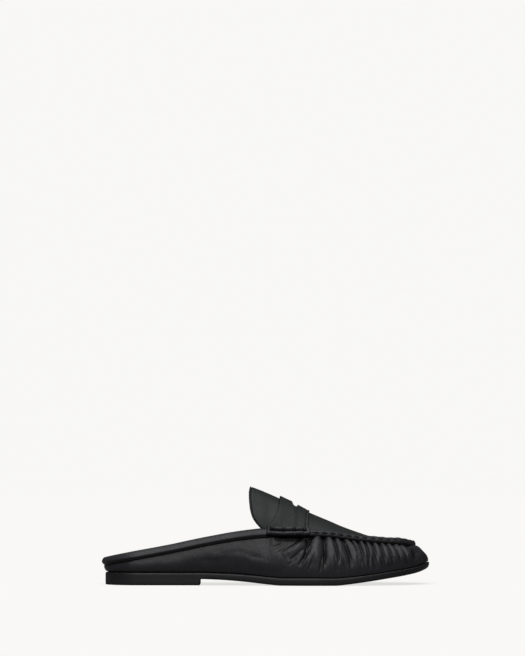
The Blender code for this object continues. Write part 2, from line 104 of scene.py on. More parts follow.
# Sole: half width in halves of BALL_WIDTH, swing of the centre line in BALL_WIDTH, the underside's
# height in heel heights and toe springs, and the thickness in SOLE_THICKNESS.
SoleRow = namedtuple("SoleRow", "at half swing heel spring thick")
SOLE_ROWS = [
    SoleRow(0.000, 0.670, 0.000, 1.00, 0.00, 0.96),
    SoleRow(0.115, 0.670, 0.000, 1.00, 0.00, 0.96),
    SoleRow(0.200, 0.668, -0.008, 1.00, 0.00, 0.96),
    SoleRow(0.295, 0.652, -0.023, 1.00, 0.00, 0.97),
    SoleRow(0.350, 0.652, -0.033, 0.90, 0.00, 0.99),
    SoleRow(0.400, 0.668, -0.040, 0.73, 0.00, 1.05),
    SoleRow(0.450, 0.714, -0.045, 0.48, 0.00, 1.11),
    SoleRow(0.500, 0.780, -0.047, 0.18, 0.00, 1.15),
    SoleRow(0.545, 0.850, -0.044, 0.00, 0.00, 1.16),
    SoleRow(0.600, 0.932, -0.034, 0.00, 0.00, 1.16),
    SoleRow(0.660, 0.988, -0.015, 0.00, 0.00, 1.15),
    SoleRow(0.705, 1.000, 0.002, 0.00, 0.00, 1.12),
    SoleRow(0.740, 1.000, 0.012, 0.00, 0.06, 1.08),
    SoleRow(0.780, 1.000, 0.022, 0.00, 0.16, 1.03),
    SoleRow(0.823, 1.000, 0.033, 0.00, 0.28, 0.99),
    SoleRow(0.866, 1.000, 0.043, 0.00, 0.41, 0.97),
    SoleRow(0.905, 1.000, 0.052, 0.00, 0.53, 0.96),
    SoleRow(0.937, 1.000, 0.059, 0.00, 0.64, 0.96),
    SoleRow(0.962, 1.000, 0.064, 0.00, 0.74, 0.96),
    SoleRow(1.000, 1.000, 0.072, 0.00, 1.00, 0.96),
]

# Top edge of the wall: half width and swing as above, the quarters' height below the collar and the
# apron seam's height, both in WALL_HEIGHT above the sole, and the instep's rise over it in INSTEP_RISE.
TopRow = namedtuple("TopRow", "at half swing quarter seam rise")
TOP_ROWS = [
    TopRow(-0.004, 0.654, 0.000, 0.164, 1.000, 1.040),
    TopRow(0.095, 0.654, 0.000, 0.280, 1.000, 1.040),
    TopRow(0.200, 0.659, -0.004, 0.424, 1.000, 1.040),
    TopRow(0.264, 0.666, -0.008, 0.525, 1.000, 1.040),
    TopRow(0.316, 0.676, -0.011, 0.603, 1.000, 1.040),
    TopRow(0.360, 0.689, -0.014, 0.675, 1.000, 1.040),
    TopRow(0.429, 0.708, -0.019, 0.780, 1.000, 1.040),
    TopRow(0.447, 0.713, -0.021, 0.806, 1.000, 0.984),
    TopRow(0.486, 0.724, -0.023, 0.862, 0.999, 0.901),
    TopRow(0.535, 0.732, -0.024, 0.900, 0.997, 0.776),
    TopRow(0.582, 0.734, -0.023, 0.900, 0.993, 0.622),
    TopRow(0.631, 0.724, -0.019, 0.900, 0.978, 0.464),
    TopRow(0.659, 0.713, -0.015, 0.900, 0.966, 0.392),
    TopRow(0.696, 0.697, -0.008, 0.900, 0.945, 0.303),
    TopRow(0.733, 0.677, 0.001, 0.900, 0.887, 0.239),
    TopRow(0.782, 0.647, 0.013, 0.900, 0.796, 0.158),
    TopRow(0.807, 0.634, 0.019, 0.900, 0.750, 0.119),
    TopRow(0.839, 0.626, 0.027, 0.900, 0.697, 0.085),
    TopRow(0.879, 0.626, 0.038, 0.900, 0.621, 0.070),
    TopRow(0.920, 0.626, 0.048, 0.900, 0.534, 0.050),
    TopRow(0.946, 0.626, 0.056, 0.900, 0.452, 0.000),
]

# The wall's section: how far it stands in at the foot, out at its belly and out at its shoulder, in
# FEATHER_INSET, BELLY and SHOULDER, and how far below its top edge the shoulder lies, in its height.
WallRow = namedtuple("WallRow", "at inset belly shoulder drop")
WALL_ROWS = [
    WallRow(0.00, 0.70, 0.50, 0.08, 0.35),
    WallRow(0.10, 0.70, 0.55, 0.10, 0.35),
    WallRow(0.30, 0.50, 0.85, 0.20, 0.35),
    WallRow(0.45, 0.50, 1.00, 0.38, 0.35),
    WallRow(0.55, 0.70, 0.85, 0.56, 0.30),
    WallRow(0.65, 0.85, 0.63, 0.82, 0.22),
    WallRow(0.80, 1.00, 0.45, 1.00, 0.17),
    WallRow(0.92, 1.00, 0.28, 0.96, 0.15),
    WallRow(1.00, 0.95, 0.24, 1.00, 0.07),
]

# The tongue's free edge from its crown (0) down to the collar (1): how far it lies in front of
# TONGUE_BACK, in shares of the sole's length.
TongueRow = namedtuple("TongueRow", "at ahead")
TONGUE_ROWS = [
    TongueRow(0.00, 0.0000),
    TongueRow(0.12, -0.0024),
    TongueRow(0.27, -0.0030),
    TongueRow(0.50, -0.0016),
    TongueRow(0.72, 0.0045),
    TongueRow(0.86, 0.0145),
    TongueRow(1.00, 0.0310),
]

# The collar's height round the quarters, in COLLAR_HEIGHT.
CollarRow = namedtuple("CollarRow", "at height")
COLLAR_ROWS = [CollarRow(0.00, 0.88), CollarRow(0.10, 1.00), CollarRow(0.20, 1.00), CollarRow(0.50, 1.04)]

# The gathers under the apron seam, in millimetres: where a ridge starts under the seam,
# how far its foot leans towards the toe, and the share of the wall's height down to which it reaches.
# The height is a share of the pleats' own height.
Pleat = namedtuple("Pleat", "x lean reach height")
PLEATS = [
    Pleat(118.6, -13.0, 0.36, 0.95),
    Pleat(126.2, -3.1, 0.26, 1.25),
    Pleat(133.6, 6.0, 0.12, 1.15),
    Pleat(139.6, 5.2, 0.30, 0.95),
    Pleat(145.8, 12.6, 0.04, 1.15),
    Pleat(151.5, 7.4, 0.55, 0.80),
    Pleat(157.8, 5.4, 0.08, 1.15),
    Pleat(162.6, 5.4, 0.34, 0.90),
    Pleat(168.2, 6.2, 0.24, 1.00),
    Pleat(173.4, 7.2, 0.12, 1.05),
    Pleat(178.0, 8.6, 0.18, 1.00),
    Pleat(183.8, 9.2, 0.24, 0.95),
    Pleat(187.8, 9.4, 0.34, 0.75),
]

# Single creases in the wall, placed in the side view, in millimetres: both ends, the width, and
# the depth. A depth below nothing is a trough, one above it a ridge.
Crease = namedtuple("Crease", "x z to_x to_z width depth")
CREASES = [
    Crease(114, 33, 99, 23, 2.4, 1.0),
    Crease(110, 33.5, 95, 25, 1.0, -0.9),
    Crease(106, 33, 93, 27, 0.9, -0.7),
    Crease(102, 33, 90, 28.5, 0.9, -0.6),
    Crease(116, 29, 104, 19, 1.1, -0.9),
    Crease(112, 24, 103, 15, 1.0, -0.5),
    Crease(121, 30, 111, 15, 1.0, -0.9),
    Crease(119, 24, 113, 12, 0.8, 0.4),
    Crease(124, 26, 118, 11, 0.8, -0.6),
    Crease(129, 24, 127, 10, 0.8, -0.7),
    Crease(131.5, 27, 130, 12, 0.7, -0.7),
    Crease(133, 19, 134, 10, 0.8, 0.4),
    Crease(138, 24, 140, 11, 0.8, -0.7),
    Crease(141, 20, 143, 12, 0.7, 0.4),
    Crease(143, 25, 147, 12, 0.8, -0.6),
    Crease(149, 22, 151, 13, 0.7, -0.5),
    Crease(147, 30, 150, 21, 0.8, -0.6),
    Crease(155, 24, 158, 11, 0.8, -0.7),
    Crease(159, 18, 161, 11, 0.7, 0.4),
    Crease(162, 23, 165, 12, 0.8, -0.6),
    Crease(167, 22, 170, 12, 0.8, -0.6),
    Crease(171.5, 20, 174, 12.5, 0.7, 0.35),
    Crease(173, 22, 176, 13, 0.7, -0.5),
    Crease(178, 22, 181, 13, 0.7, -0.5),
    Crease(183, 22, 186, 15, 0.7, -0.45),
    Crease(188, 22, 191, 16, 0.7, -0.35),
    Crease(60, 27, 84, 21, 3.0, -0.25),
    Crease(30, 19, 62, 20, 2.4, -0.2),
    Crease(70, 19, 96, 15, 2.6, 0.2),
    Crease(193.5, 26, 197, 18, 2.6, 0.5),
    Crease(197.5, 28, 201, 19, 1.5, -0.8),
    Crease(202.5, 24, 206, 17, 2.2, 0.5),
    Crease(192, 22, 195, 14, 1.4, -0.5),
]
INNER_SHIFT = 1.6
INNER_HEIGHTS = (0.80, 1.10, 0.90, 1.15, 0.85, 1.00, 0.90, 1.10, 0.85, 1.05, 0.90, 1.00, 0.80)

# The whip stitches over the rolls, in millimetres in front of a roll's back end.
WHIP_STITCHES = (4.6, 13.4, 21.4, 28.6)


def fitted(rows, column):
    """A smooth curve through one column of a table, level where two rows are level."""
    at = np.array([row.at for row in rows])
    value = np.array([getattr(row, column) for row in rows])
    step = np.diff(at)
    pitch = np.diff(value) / step
    slope = np.zeros(len(at))
    slope[0], slope[-1] = pitch[0], pitch[-1]
    for i in range(1, len(at) - 1):
        if pitch[i - 1] * pitch[i] > 0:
            before = 2 * step[i] + step[i - 1]
            after = step[i] + 2 * step[i - 1]
            slope[i] = (before + after) / (before / pitch[i - 1] + after / pitch[i])

    def value_at(place):
        place = np.clip(place, at[0], at[-1])
        i = np.clip(np.searchsorted(at, place, side="right") - 1, 0, len(step) - 1)
        t = (place - at[i]) / step[i]
        ends = (1 + 2 * t) * (1 - t) ** 2 * value[i] + t * t * (3 - 2 * t) * value[i + 1]
        bend = t * (1 - t) ** 2 * slope[i] - t * t * (1 - t) * slope[i + 1]
        return ends + step[i] * bend

    return value_at


sole_half = fitted(SOLE_ROWS, "half")
sole_swing = fitted(SOLE_ROWS, "swing")
sole_heel = fitted(SOLE_ROWS, "heel")
sole_spring = fitted(SOLE_ROWS, "spring")
sole_thick = fitted(SOLE_ROWS, "thick")
top_half = fitted(TOP_ROWS, "half")
top_swing = fitted(TOP_ROWS, "swing")
quarter_height = fitted(TOP_ROWS, "quarter")
seam_height = fitted(TOP_ROWS, "seam")
instep_rise = fitted(TOP_ROWS, "rise")
wall_inset = fitted(WALL_ROWS, "inset")
wall_belly = fitted(WALL_ROWS, "belly")
wall_shoulder = fitted(WALL_ROWS, "shoulder")
wall_drop = fitted(WALL_ROWS, "drop")
tongue_ahead = fitted(TONGUE_ROWS, "ahead")
collar_share = fitted(COLLAR_ROWS, "height")

APRON_FRONT = 1 - APRON_SETBACK / SOLE_LENGTH
TOP_BACK = -TOP_OVERHANG / SOLE_LENGTH
HEEL_FRONT = HEEL_LENGTH / SOLE_LENGTH
ROLL_RAMP = 0.4 * (THROAT - ROLL_BACK)


def along(at):
    """X of a place along the shoe."""
    return at * SOLE_LENGTH - HEEL_CENTRE


def share(x):
    """The place along the shoe at X."""
    return (x + HEEL_CENTRE) / SOLE_LENGTH


def eased(t):
    """From nothing to one, level at both ends."""
    t = np.clip(t, 0.0, 1.0)
    return t * t * (3 - 2 * t)


def bump(distance, width):
    """A soft hill of this width, one high in its middle."""
    # Painted highlight colour: the marks lay it on the ridges, lips and rolls, and a quarter of it lies everywhere.
    return np.exp(-((distance / width) ** 2))


def joined(x, y, z):
    """Points from their coordinates."""
    return np.stack(np.broadcast_arrays(x, y, z), axis=-1).astype(float)
# Painted highlight colour for the tongue's and strap's edge bands; a quarter of it lies everywhere.


def unit(vectors):
    """The same directions, one long."""
    return vectors / np.maximum(np.linalg.norm(vectors, axis=-1, keepdims=True), 1e-12)


def round_end(reach, radius, power):
    """The share of its full width that an outline has at this distance from its round end."""
    return np.sqrt(np.maximum(0.0, 1 - (1 - np.clip(reach / radius, 0.0, 1.0)) ** power))


def underside(at):
    """Height of the outsole's underside: the heel seat, the tread on the floor, then the toe spring."""
    return sole_heel(at) * (HEEL_HEIGHT + GAP) + sole_spring(at) * TOE_SPRING


def sole_top(at):
    """Height of the outsole's upper face."""
    return underside(at) + sole_thick(at) * SOLE_THICKNESS


def sole_edge(at, side):
    """The outsole's outline on one side, seen from above."""
    half = BALL_WIDTH / 2 * sole_half(at)
    half = half * round_end(at * SOLE_LENGTH, HEEL_ROUND, 2.0)
    half = half * round_end((1 - at) * SOLE_LENGTH, TOE_ROUND, 2.2)
    return joined(along(at), BALL_WIDTH * sole_swing(at) + side * half, 0.0)


def outward(at, side):
    """The level direction out of the outsole's outline."""
    at, side = np.broadcast_arrays(np.asarray(at, float), side)
    step = np.clip(np.minimum(at, 1 - at) / 2, 1e-7, 0.001)
    run = sole_edge(at + step, side) - sole_edge(at - step, side)
    out = unit(joined(run[..., 1] * -side, run[..., 0] * side, 0.0))
    end = np.where(at <= 0, -1.0, 1.0)
    return np.where(((at <= 0) | (at >= 1))[..., None], joined(end, 0.0, 0.0), out)


def top_at(at):
    """The place of the wall's top edge above a place on the sole: it falls back towards the toe."""
    forward = np.maximum(0.0, at - 0.5) / 0.5
    backward = np.maximum(0.0, 1 - at / 0.12)
    return at - (1 - APRON_FRONT) * forward**2 + TOP_BACK * backward


def seat_height(place):
    """Height of the seam that the apron, tongue and strap rise from."""
    return sole_top(place) + GAP + seam_height(place) * WALL_HEIGHT


def top_height(place):
    """Height of the wall's top edge: below the collar at the back, at the apron seam in front."""
    quarter = sole_top(place) + GAP + quarter_height(place) * WALL_HEIGHT
    return quarter + (seat_height(place) - quarter) * eased((place - ROLL_BACK) / ROLL_RAMP)


def half_at(place):
    """Half width between the wall's top edges."""
    half = BALL_WIDTH / 2 * top_half(place)
    half = half * round_end((place - TOP_BACK) * SOLE_LENGTH, TOP_HEEL_ROUND, 2.0)
    return half * round_end((APRON_FRONT - place) * SOLE_LENGTH, APRON_ROUND, 2.3)


def wall(at, side, rise):
    """Points on the wall's outer face, from the sole at rise 0 to its top edge at rise 1."""
    out = outward(at, side)
    foot = sole_edge(at, side) - out * (FEATHER_INSET * wall_inset(at))[..., None]
    foot[..., 2] = sole_top(share(foot[..., 0])) + GAP
    place = top_at(at)
    top = joined(along(place), BALL_WIDTH * top_swing(place) + side * half_at(place), top_height(place))
    height = (top[..., 2] - foot[..., 2])[..., None]
    belly = foot + out * (BELLY * wall_belly(at))[..., None] + UP * 0.4 * height
    shoulder = top + out * (SHOULDER * wall_shoulder(at))[..., None] - UP * wall_drop(at)[..., None] * height
    rise = np.asarray(rise, float)[..., None]
    back = 1 - rise
    foot, belly, shoulder, top = (p[:, None, :] for p in (foot, belly, shoulder, top))
    return foot * back**3 + belly * 3 * back**2 * rise + shoulder * 3 * back * rise**2 + top * rise**3


def instep(place, across, taper=0.0):
    """Points over the instep, from the outer seam at across -1 to the inner seam at across 1."""
    place, across = np.broadcast_arrays(np.asarray(place, float), across)
    half = half_at(place)
    y = BALL_WIDTH * top_swing(place) + across * (half - taper)
    rise = INSTEP_RISE * instep_rise(place)
    arc = (rise > 0) & (rise < half)
    safe = np.where(arc, rise, 1.0)
    radius = (half**2 + safe**2) / (2 * safe)
    low = np.sqrt(np.maximum(radius**2 - (across * half) ** 2, 0.0)) - (radius - safe)
    tall = rise * np.sqrt(np.maximum(0.0, 1 - across**2))
    return joined(along(place), y, seat_height(place) + np.where(arc, low, tall))


def instep_normal(place, across, taper=0.0):
    """The directions out of the instep."""
    step = 0.004
    ahead = instep(place + step, across, taper) - instep(place - step, across, taper)
    inner = instep(place, np.minimum(across + step, 1.0), taper)
    outer = instep(place, np.maximum(across - step, -1.0), taper)
    return unit(np.cross(ahead, inner - outer))


def over(points):
    """The points of the instep above or below these."""
    place = share(points[..., 0])
    half = np.maximum(half_at(place), 1e-9)
    across = (points[..., 1] - BALL_WIDTH * top_swing(place)) / half
    return instep(place, np.clip(across, -1.0, 1.0))


def under(place):
    """The place on the sole whose section has its top edge at this place."""
    fine = np.linspace(0.0, 1.0, 4001)
    return float(np.interp(place, top_at(fine), fine))


def spaced(edge, fine, spacing):
    """Places along an edge, as far apart as the spacing at each place."""
    middle = (fine[1:] + fine[:-1]) / 2
    steps = np.linalg.norm(np.diff(edge, axis=0), axis=1) / spacing(middle)
    run = np.concatenate([[0.0], np.cumsum(steps)])
    count = int(round(run[-1]))
    return np.interp(np.arange(count + 1) * run[-1] / count, run, fine)


def outline_places(spacing):
    """Places round the outer side of the sole, from the heel to the toe."""
    fine = 0.5 - 0.5 * np.cos(np.linspace(0.0, math.pi, 4001))
    return spaced(sole_edge(fine, OUTER), fine, spacing)


def ring(at):
    """The places and sides of sections round the whole shoe, from the heel by the outer side."""
    places = np.concatenate([at, at[-2::-1]])
    sides = np.concatenate([np.full(len(at), OUTER), np.full(len(at) - 1, INNER)])
    return places, sides


def normals_of(points, wrap):
    """The directions out of a grid of points, by its own slopes."""
    if wrap:
        ahead = np.concatenate([points[1:], points[1:2]]) - np.concatenate([points[-2:-1], points[:-1]])
    else:
        ahead = np.gradient(points, axis=0)
    return unit(np.cross(ahead, np.gradient(points, axis=1)))


def drift(points, grain, seed):
    """Soft, uneven numbers about nothing over a grid of points."""
    flat = points.reshape(-1, 3) / grain + seed
    values = [noise.noise(Vector(point)) for point in flat]
    return np.array(values).reshape(points.shape[:-1])


def linear(code):
    """An sRGB hex colour as linear red, green and blue."""
    channels = [int(code[i : i + 2], 16) / 255 for i in (1, 3, 5)]
    return tuple(c / 12.92 if c <= 0.04045 else ((c + 0.055) / 1.055) ** 2.4 for c in channels)


def add(tree, kind, values=(), links=(), **settings):
    """A node with its settings, the values of its sockets, and its links from other sockets."""
    made = tree.nodes.new(kind)
    for name, value in settings.items():
        setattr(made, name, value)
    for socket, value in values:
        made.inputs[socket].default_value = value
    for socket, source in links:
        tree.links.new(source, made.inputs[socket])
    return made


def new_material(name):
    """An empty material with its output, and its tree."""
    made = bpy.data.materials.new(name)
    made.use_nodes = True
    made.node_tree.nodes.clear()
    return made, made.node_tree


def leather(name, colour, highlight, roughness, shine, coat, grain, fold, depth):
    """Chrome-tanned leather: pores, fine folds across the strain, and painted light from the marks.

    The grain is the spacing of its pores and the fold that of its fine creases, both in metres.
    """
    made, tree = new_material(name)
    place = add(tree, "ShaderNodeTexCoord").outputs["Object"]
    # This noise only scales how strongly the marks lay on the painted highlight; it gives no tone of its own.
    dye = add(tree, "ShaderNodeTexNoise", [("Scale", 60.0), ("Detail", 3.0)], [("Vector", place)])
    painted_light = add(tree, "ShaderNodeAttribute", attribute_name="painted_light").outputs["Fac"]
    # Painted highlight: where the marks rise above nothing the colour is mixed towards the lighter highlight colour, a
    # quarter of it everywhere; the mix carries both the dye and the painted highlight.
    painted_highlight = add(
        tree, "ShaderNodeMath", [(2, 0.25)], [(0, painted_light), (1, dye.outputs["Fac"])],
        operation="MULTIPLY_ADD", use_clamp=True,
    )
    dyed = add(
        tree, "ShaderNodeMix", [(6, (*colour, 1)), (7, (*highlight, 1))], [(0, painted_highlight.outputs[0])],
        data_type="RGBA",
    )
    # Painted shade: where the marks fall below nothing the colour is pulled down towards 12% of the dye, near black.
    low_place = add(
        tree, "ShaderNodeMapRange", [("From Min", -1.0), ("From Max", 0.0)], [("Value", painted_light)],
    )
    inked = tuple(channel * 0.12 for channel in colour)
    tint = add(
        tree, "ShaderNodeMix", [(6, (*inked, 1))], [(0, low_place.outputs["Result"]), (7, dyed.outputs[2])],
        data_type="RGBA",
    )
    smear = add(tree, "ShaderNodeTexNoise", [("Scale", 210.0), ("Detail", 4.0)], [("Vector", place)])
    dull = add(
        tree, "ShaderNodeMapRange", [("To Min", roughness * 0.82), ("To Max", roughness * 1.22)],
        [("Value", smear.outputs["Fac"])],
    )
    squeezed = add(tree, "ShaderNodeMapping", [("Scale", (1.0, 0.8, 0.30))], [("Vector", place)])
    folds = add(
        tree, "ShaderNodeTexNoise", [("Scale", 1 / fold), ("Detail", 3.0), ("Distortion", 0.4)],
        [("Vector", squeezed.outputs["Vector"])],
    )
    pores = add(
        tree, "ShaderNodeTexVoronoi", [("Scale", 1 / grain), ("Randomness", 1.0)], [("Vector", place)],
    )
    low = add(
        tree, "ShaderNodeBump", [("Strength", 1.0), ("Distance", depth)], [("Height", folds.outputs["Fac"])],
    )
    fine = add(
        tree, "ShaderNodeBump", [("Strength", 0.5), ("Distance", depth * 0.25)],
        [("Height", pores.outputs["Distance"]), ("Normal", low.outputs["Normal"])],
    )
    shader = add(
        tree, "ShaderNodeBsdfPrincipled",
        [("IOR", 1.45), ("Specular IOR Level", shine), ("Coat Weight", coat), ("Coat Roughness", 0.18)],
        [("Base Color", tint.outputs[2]), ("Roughness", dull.outputs["Result"]), ("Normal", fine.outputs["Normal"])],
    )
    add(tree, "ShaderNodeOutputMaterial", (), [("Surface", shader.outputs["BSDF"])])
    return made


def edge_finish(name, colour, roughness, streak, depth):
    """A trimmed, inked and waxed edge: fine lines run round it, where the layers meet the blade."""
    made, tree = new_material(name)
    place = add(tree, "ShaderNodeTexCoord").outputs["Object"]
    squeezed = add(tree, "ShaderNodeMapping", [("Scale", (0.08, 0.08, 1.0))], [("Vector", place)])
    lines = add(
        tree, "ShaderNodeTexNoise", [("Scale", 1 / streak), ("Detail", 3.0)],
        [("Vector", squeezed.outputs["Vector"])],
    )
    cloud = add(tree, "ShaderNodeTexNoise", [("Scale", 90.0), ("Detail", 2.0)], [("Vector", place)])
    darker = tuple(c * 0.6 for c in colour)
    tint = add(
        tree, "ShaderNodeMix", [(6, (*darker, 1)), (7, (*colour, 1))], [(0, cloud.outputs["Fac"])],
        data_type="RGBA",
    )
    dull = add(
        tree, "ShaderNodeMapRange", [("To Min", roughness * 0.85), ("To Max", roughness * 1.2)],
        [("Value", lines.outputs["Fac"])],
    )
    ridges = add(
        tree, "ShaderNodeBump", [("Strength", 0.6), ("Distance", depth)], [("Height", lines.outputs["Fac"])],
    )
    shader = add(
        tree, "ShaderNodeBsdfPrincipled", [("IOR", 1.45), ("Specular IOR Level", 0.2)],
        [("Base Color", tint.outputs[2]), ("Roughness", dull.outputs["Result"]), ("Normal", ridges.outputs["Normal"])],
    )
    add(tree, "ShaderNodeOutputMaterial", (), [("Surface", shader.outputs["BSDF"])])
    return made


def finish(name):
    """A finish by its name, made at its first use."""
    ready = bpy.data.materials.get(name)
    if ready:
        return ready
    look = bpy.context.scene.loafer_finish
    if name == "polished_calf_leather":
        # Calf, plated and waxed: small crisp highlights on each ridge; the marks also paint its ridges with a lighter
        # highlight colour and its troughs near black as painted shade.
        return leather(name, look.calf, look.calf_highlight, look.gloss, 0.12, 0.03, 0.0009, 0.0016, 0.00028)
    if name == "satin_calf_leather":
        # The same calf, unwaxed and unstrained: an even satin with a broad soft sheen.
        return leather(name, look.satin, look.satin_highlight, look.satin_gloss, 0.14, 0.0, 0.0009, 0.0030, 0.00010)
    if name == "lining_leather":
        # Pigskin lining, aniline dyed: dry and dull, with open pores.
        return leather(name, look.lining, look.lining, 0.62, 0.2, 0.0, 0.0012, 0.0040, 0.00012)
    if name == "sole_edge_waxed":
        # Sole bend, edge trimmed, inked and hot waxed: a dark satin with faint lines along it.
        return edge_finish(name, look.sole, 0.46, 0.0006, 0.00005)
    if name == "heel_rubber_moulded":
        # Moulded rubber top piece: slightly greyer and duller than the waxed sole.
        return edge_finish(name, look.heel, 0.50, 0.0011, 0.00004)
    if name == "waxed_thread":
        # Waxed polyester sewing thread: a twisted yarn, so it glints in short diagonal steps.
        return edge_finish(name, look.thread, 0.42, 0.0004, 0.00008)
    raise ValueError("no such finish: " + name)


def quilt(points, marks=None, lined=None):
    """A grid moved onto an array of points, merged where its edges meet, faces turned outwards.

    The marks, painted highlight above nothing and painted shade below it, are kept as a point attribute. Columns past
    lined take the second finish.
    """
    rows, columns = points.shape[0] - 1, points.shape[1] - 1
    bm = bmesh.new()
    painted_light = bm.verts.layers.float.new("painted_light")
    bmesh.ops.create_grid(bm, x_segments=rows, y_segments=columns, size=0.5)
    if lined is not None:
        for face in bm.faces:
            middle = sum(vert.co.y for vert in face.verts) / len(face.verts)
            face.material_index = int((middle + 0.5) * columns > lined)
    for vert in bm.verts:
        row = round((vert.co.x + 0.5) * rows)
        column = round((vert.co.y + 0.5) * columns)
        vert.co = points[row, column]
        if marks is not None:
            vert[painted_light] = marks[row, column]
    bmesh.ops.remove_doubles(bm, verts=bm.verts, dist=2e-6)
    bmesh.ops.dissolve_degenerate(bm, edges=bm.edges, dist=1e-6)
    bmesh.ops.recalc_face_normals(bm, faces=bm.faces)
    return bm


def dressed(name, bm, finishes, slot, *nodes):
    """A mesh as a named piece that rides on the shoe and stands for its CAD nodes."""
    mesh = bpy.data.meshes.new(name)
    bm.to_mesh(mesh)
    bm.free()
    mesh.shade_smooth()
    for one in finishes:
        mesh.materials.append(finish(one))
    piece = bpy.data.objects.new(name, mesh)
    bpy.context.scene.collection.objects.link(piece)
    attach(piece, "root")
    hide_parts(*nodes)
    return piece


def rounded_sheet(middle, normal, margin, thickness, radius):
    """A sheet's two faces as one closed grid: they meet in a round edge where the margin is nothing."""
    half = thickness / 2
    swell = half * np.sqrt(np.maximum(0.0, 1 - (1 - np.clip(margin / radius, 0.0, 1.0)) ** 2))
    above = middle + normal * swell[..., None]
    below = middle - normal * swell[..., None]
    return np.concatenate([above, below[-2::-1]])


def edge_steps(count, size, fine):
    """Shares from 0 to 1 over a size, with finer steps in the first and last few parts of it."""
    near = np.array([0.0, 0.06, 0.15, 0.3, 0.5, 0.7, 0.9, 1.1, 1.3, 1.5, 1.7, 1.9, 2.2, 2.6]) * fine / size
    middle = np.linspace(near[-1], 1 - near[-1], count)
    return np.concatenate([near[:-1], middle, 1 - near[-2::-1]])


def side_marks(points, side, table, shift):
    """The single creases of a table, as heights over the wall's points in the side view."""
    height = np.zeros(points.shape[:-1])
    x = points[..., 0] / MM
    z = points[..., 2] / MM
    for row in table:
        run = np.array([row.to_x - row.x, row.to_z - row.z])
        length = float(np.hypot(*run))
        t = ((x - row.x - shift) * run[0] + (z - row.z) * run[1]) / length**2
        far = ((x - row.x - shift) * run[1] - (z - row.z) * run[0]) / length
        ends = np.clip(np.sin(math.pi * np.clip(t, 0.0, 1.0)), 0.0, 1.0) ** 0.7
        height += row.depth * bump(far, row.width) * ends
    return height * MM


def pleat_heights(points, rise, heights, shift, tall):
    """The gathers under the seam: round ridges with sharp valleys, leaning, fading down the wall."""
    x = points[..., 0] / MM - shift
    down = 1 - rise**2.2
    index = np.arange(len(PLEATS), dtype=float)
    top = np.array([pleat.x for pleat in PLEATS])
    lean = np.array([pleat.lean for pleat in PLEATS])
    reach = np.array([pleat.reach for pleat in PLEATS])
    strength = np.array([pleat.height for pleat in PLEATS]) * np.array(heights)
    phase = np.zeros(x.shape)
    for column in range(x.shape[1]):
        level = float(down[:, column].mean())
        phase[:, column] = np.interp(x[:, column], top + lean * level, index)
    ridge = np.abs(np.cos(math.pi * phase)) ** 0.70
    stop = np.interp(phase, index, reach)
    power = np.interp(phase, index, strength)
    fade = eased((rise - stop) / 0.30) ** 0.7 * (0.72 + 0.28 * rise)
    first = eased((x - (top[0] + lean[0] * down) + 4.5) / 4.5)
    last = 1 - eased((x - (top[-1] + lean[-1] * down)) / 4.0)
    return tall * power * fade * (ridge - 0.58) * first * last


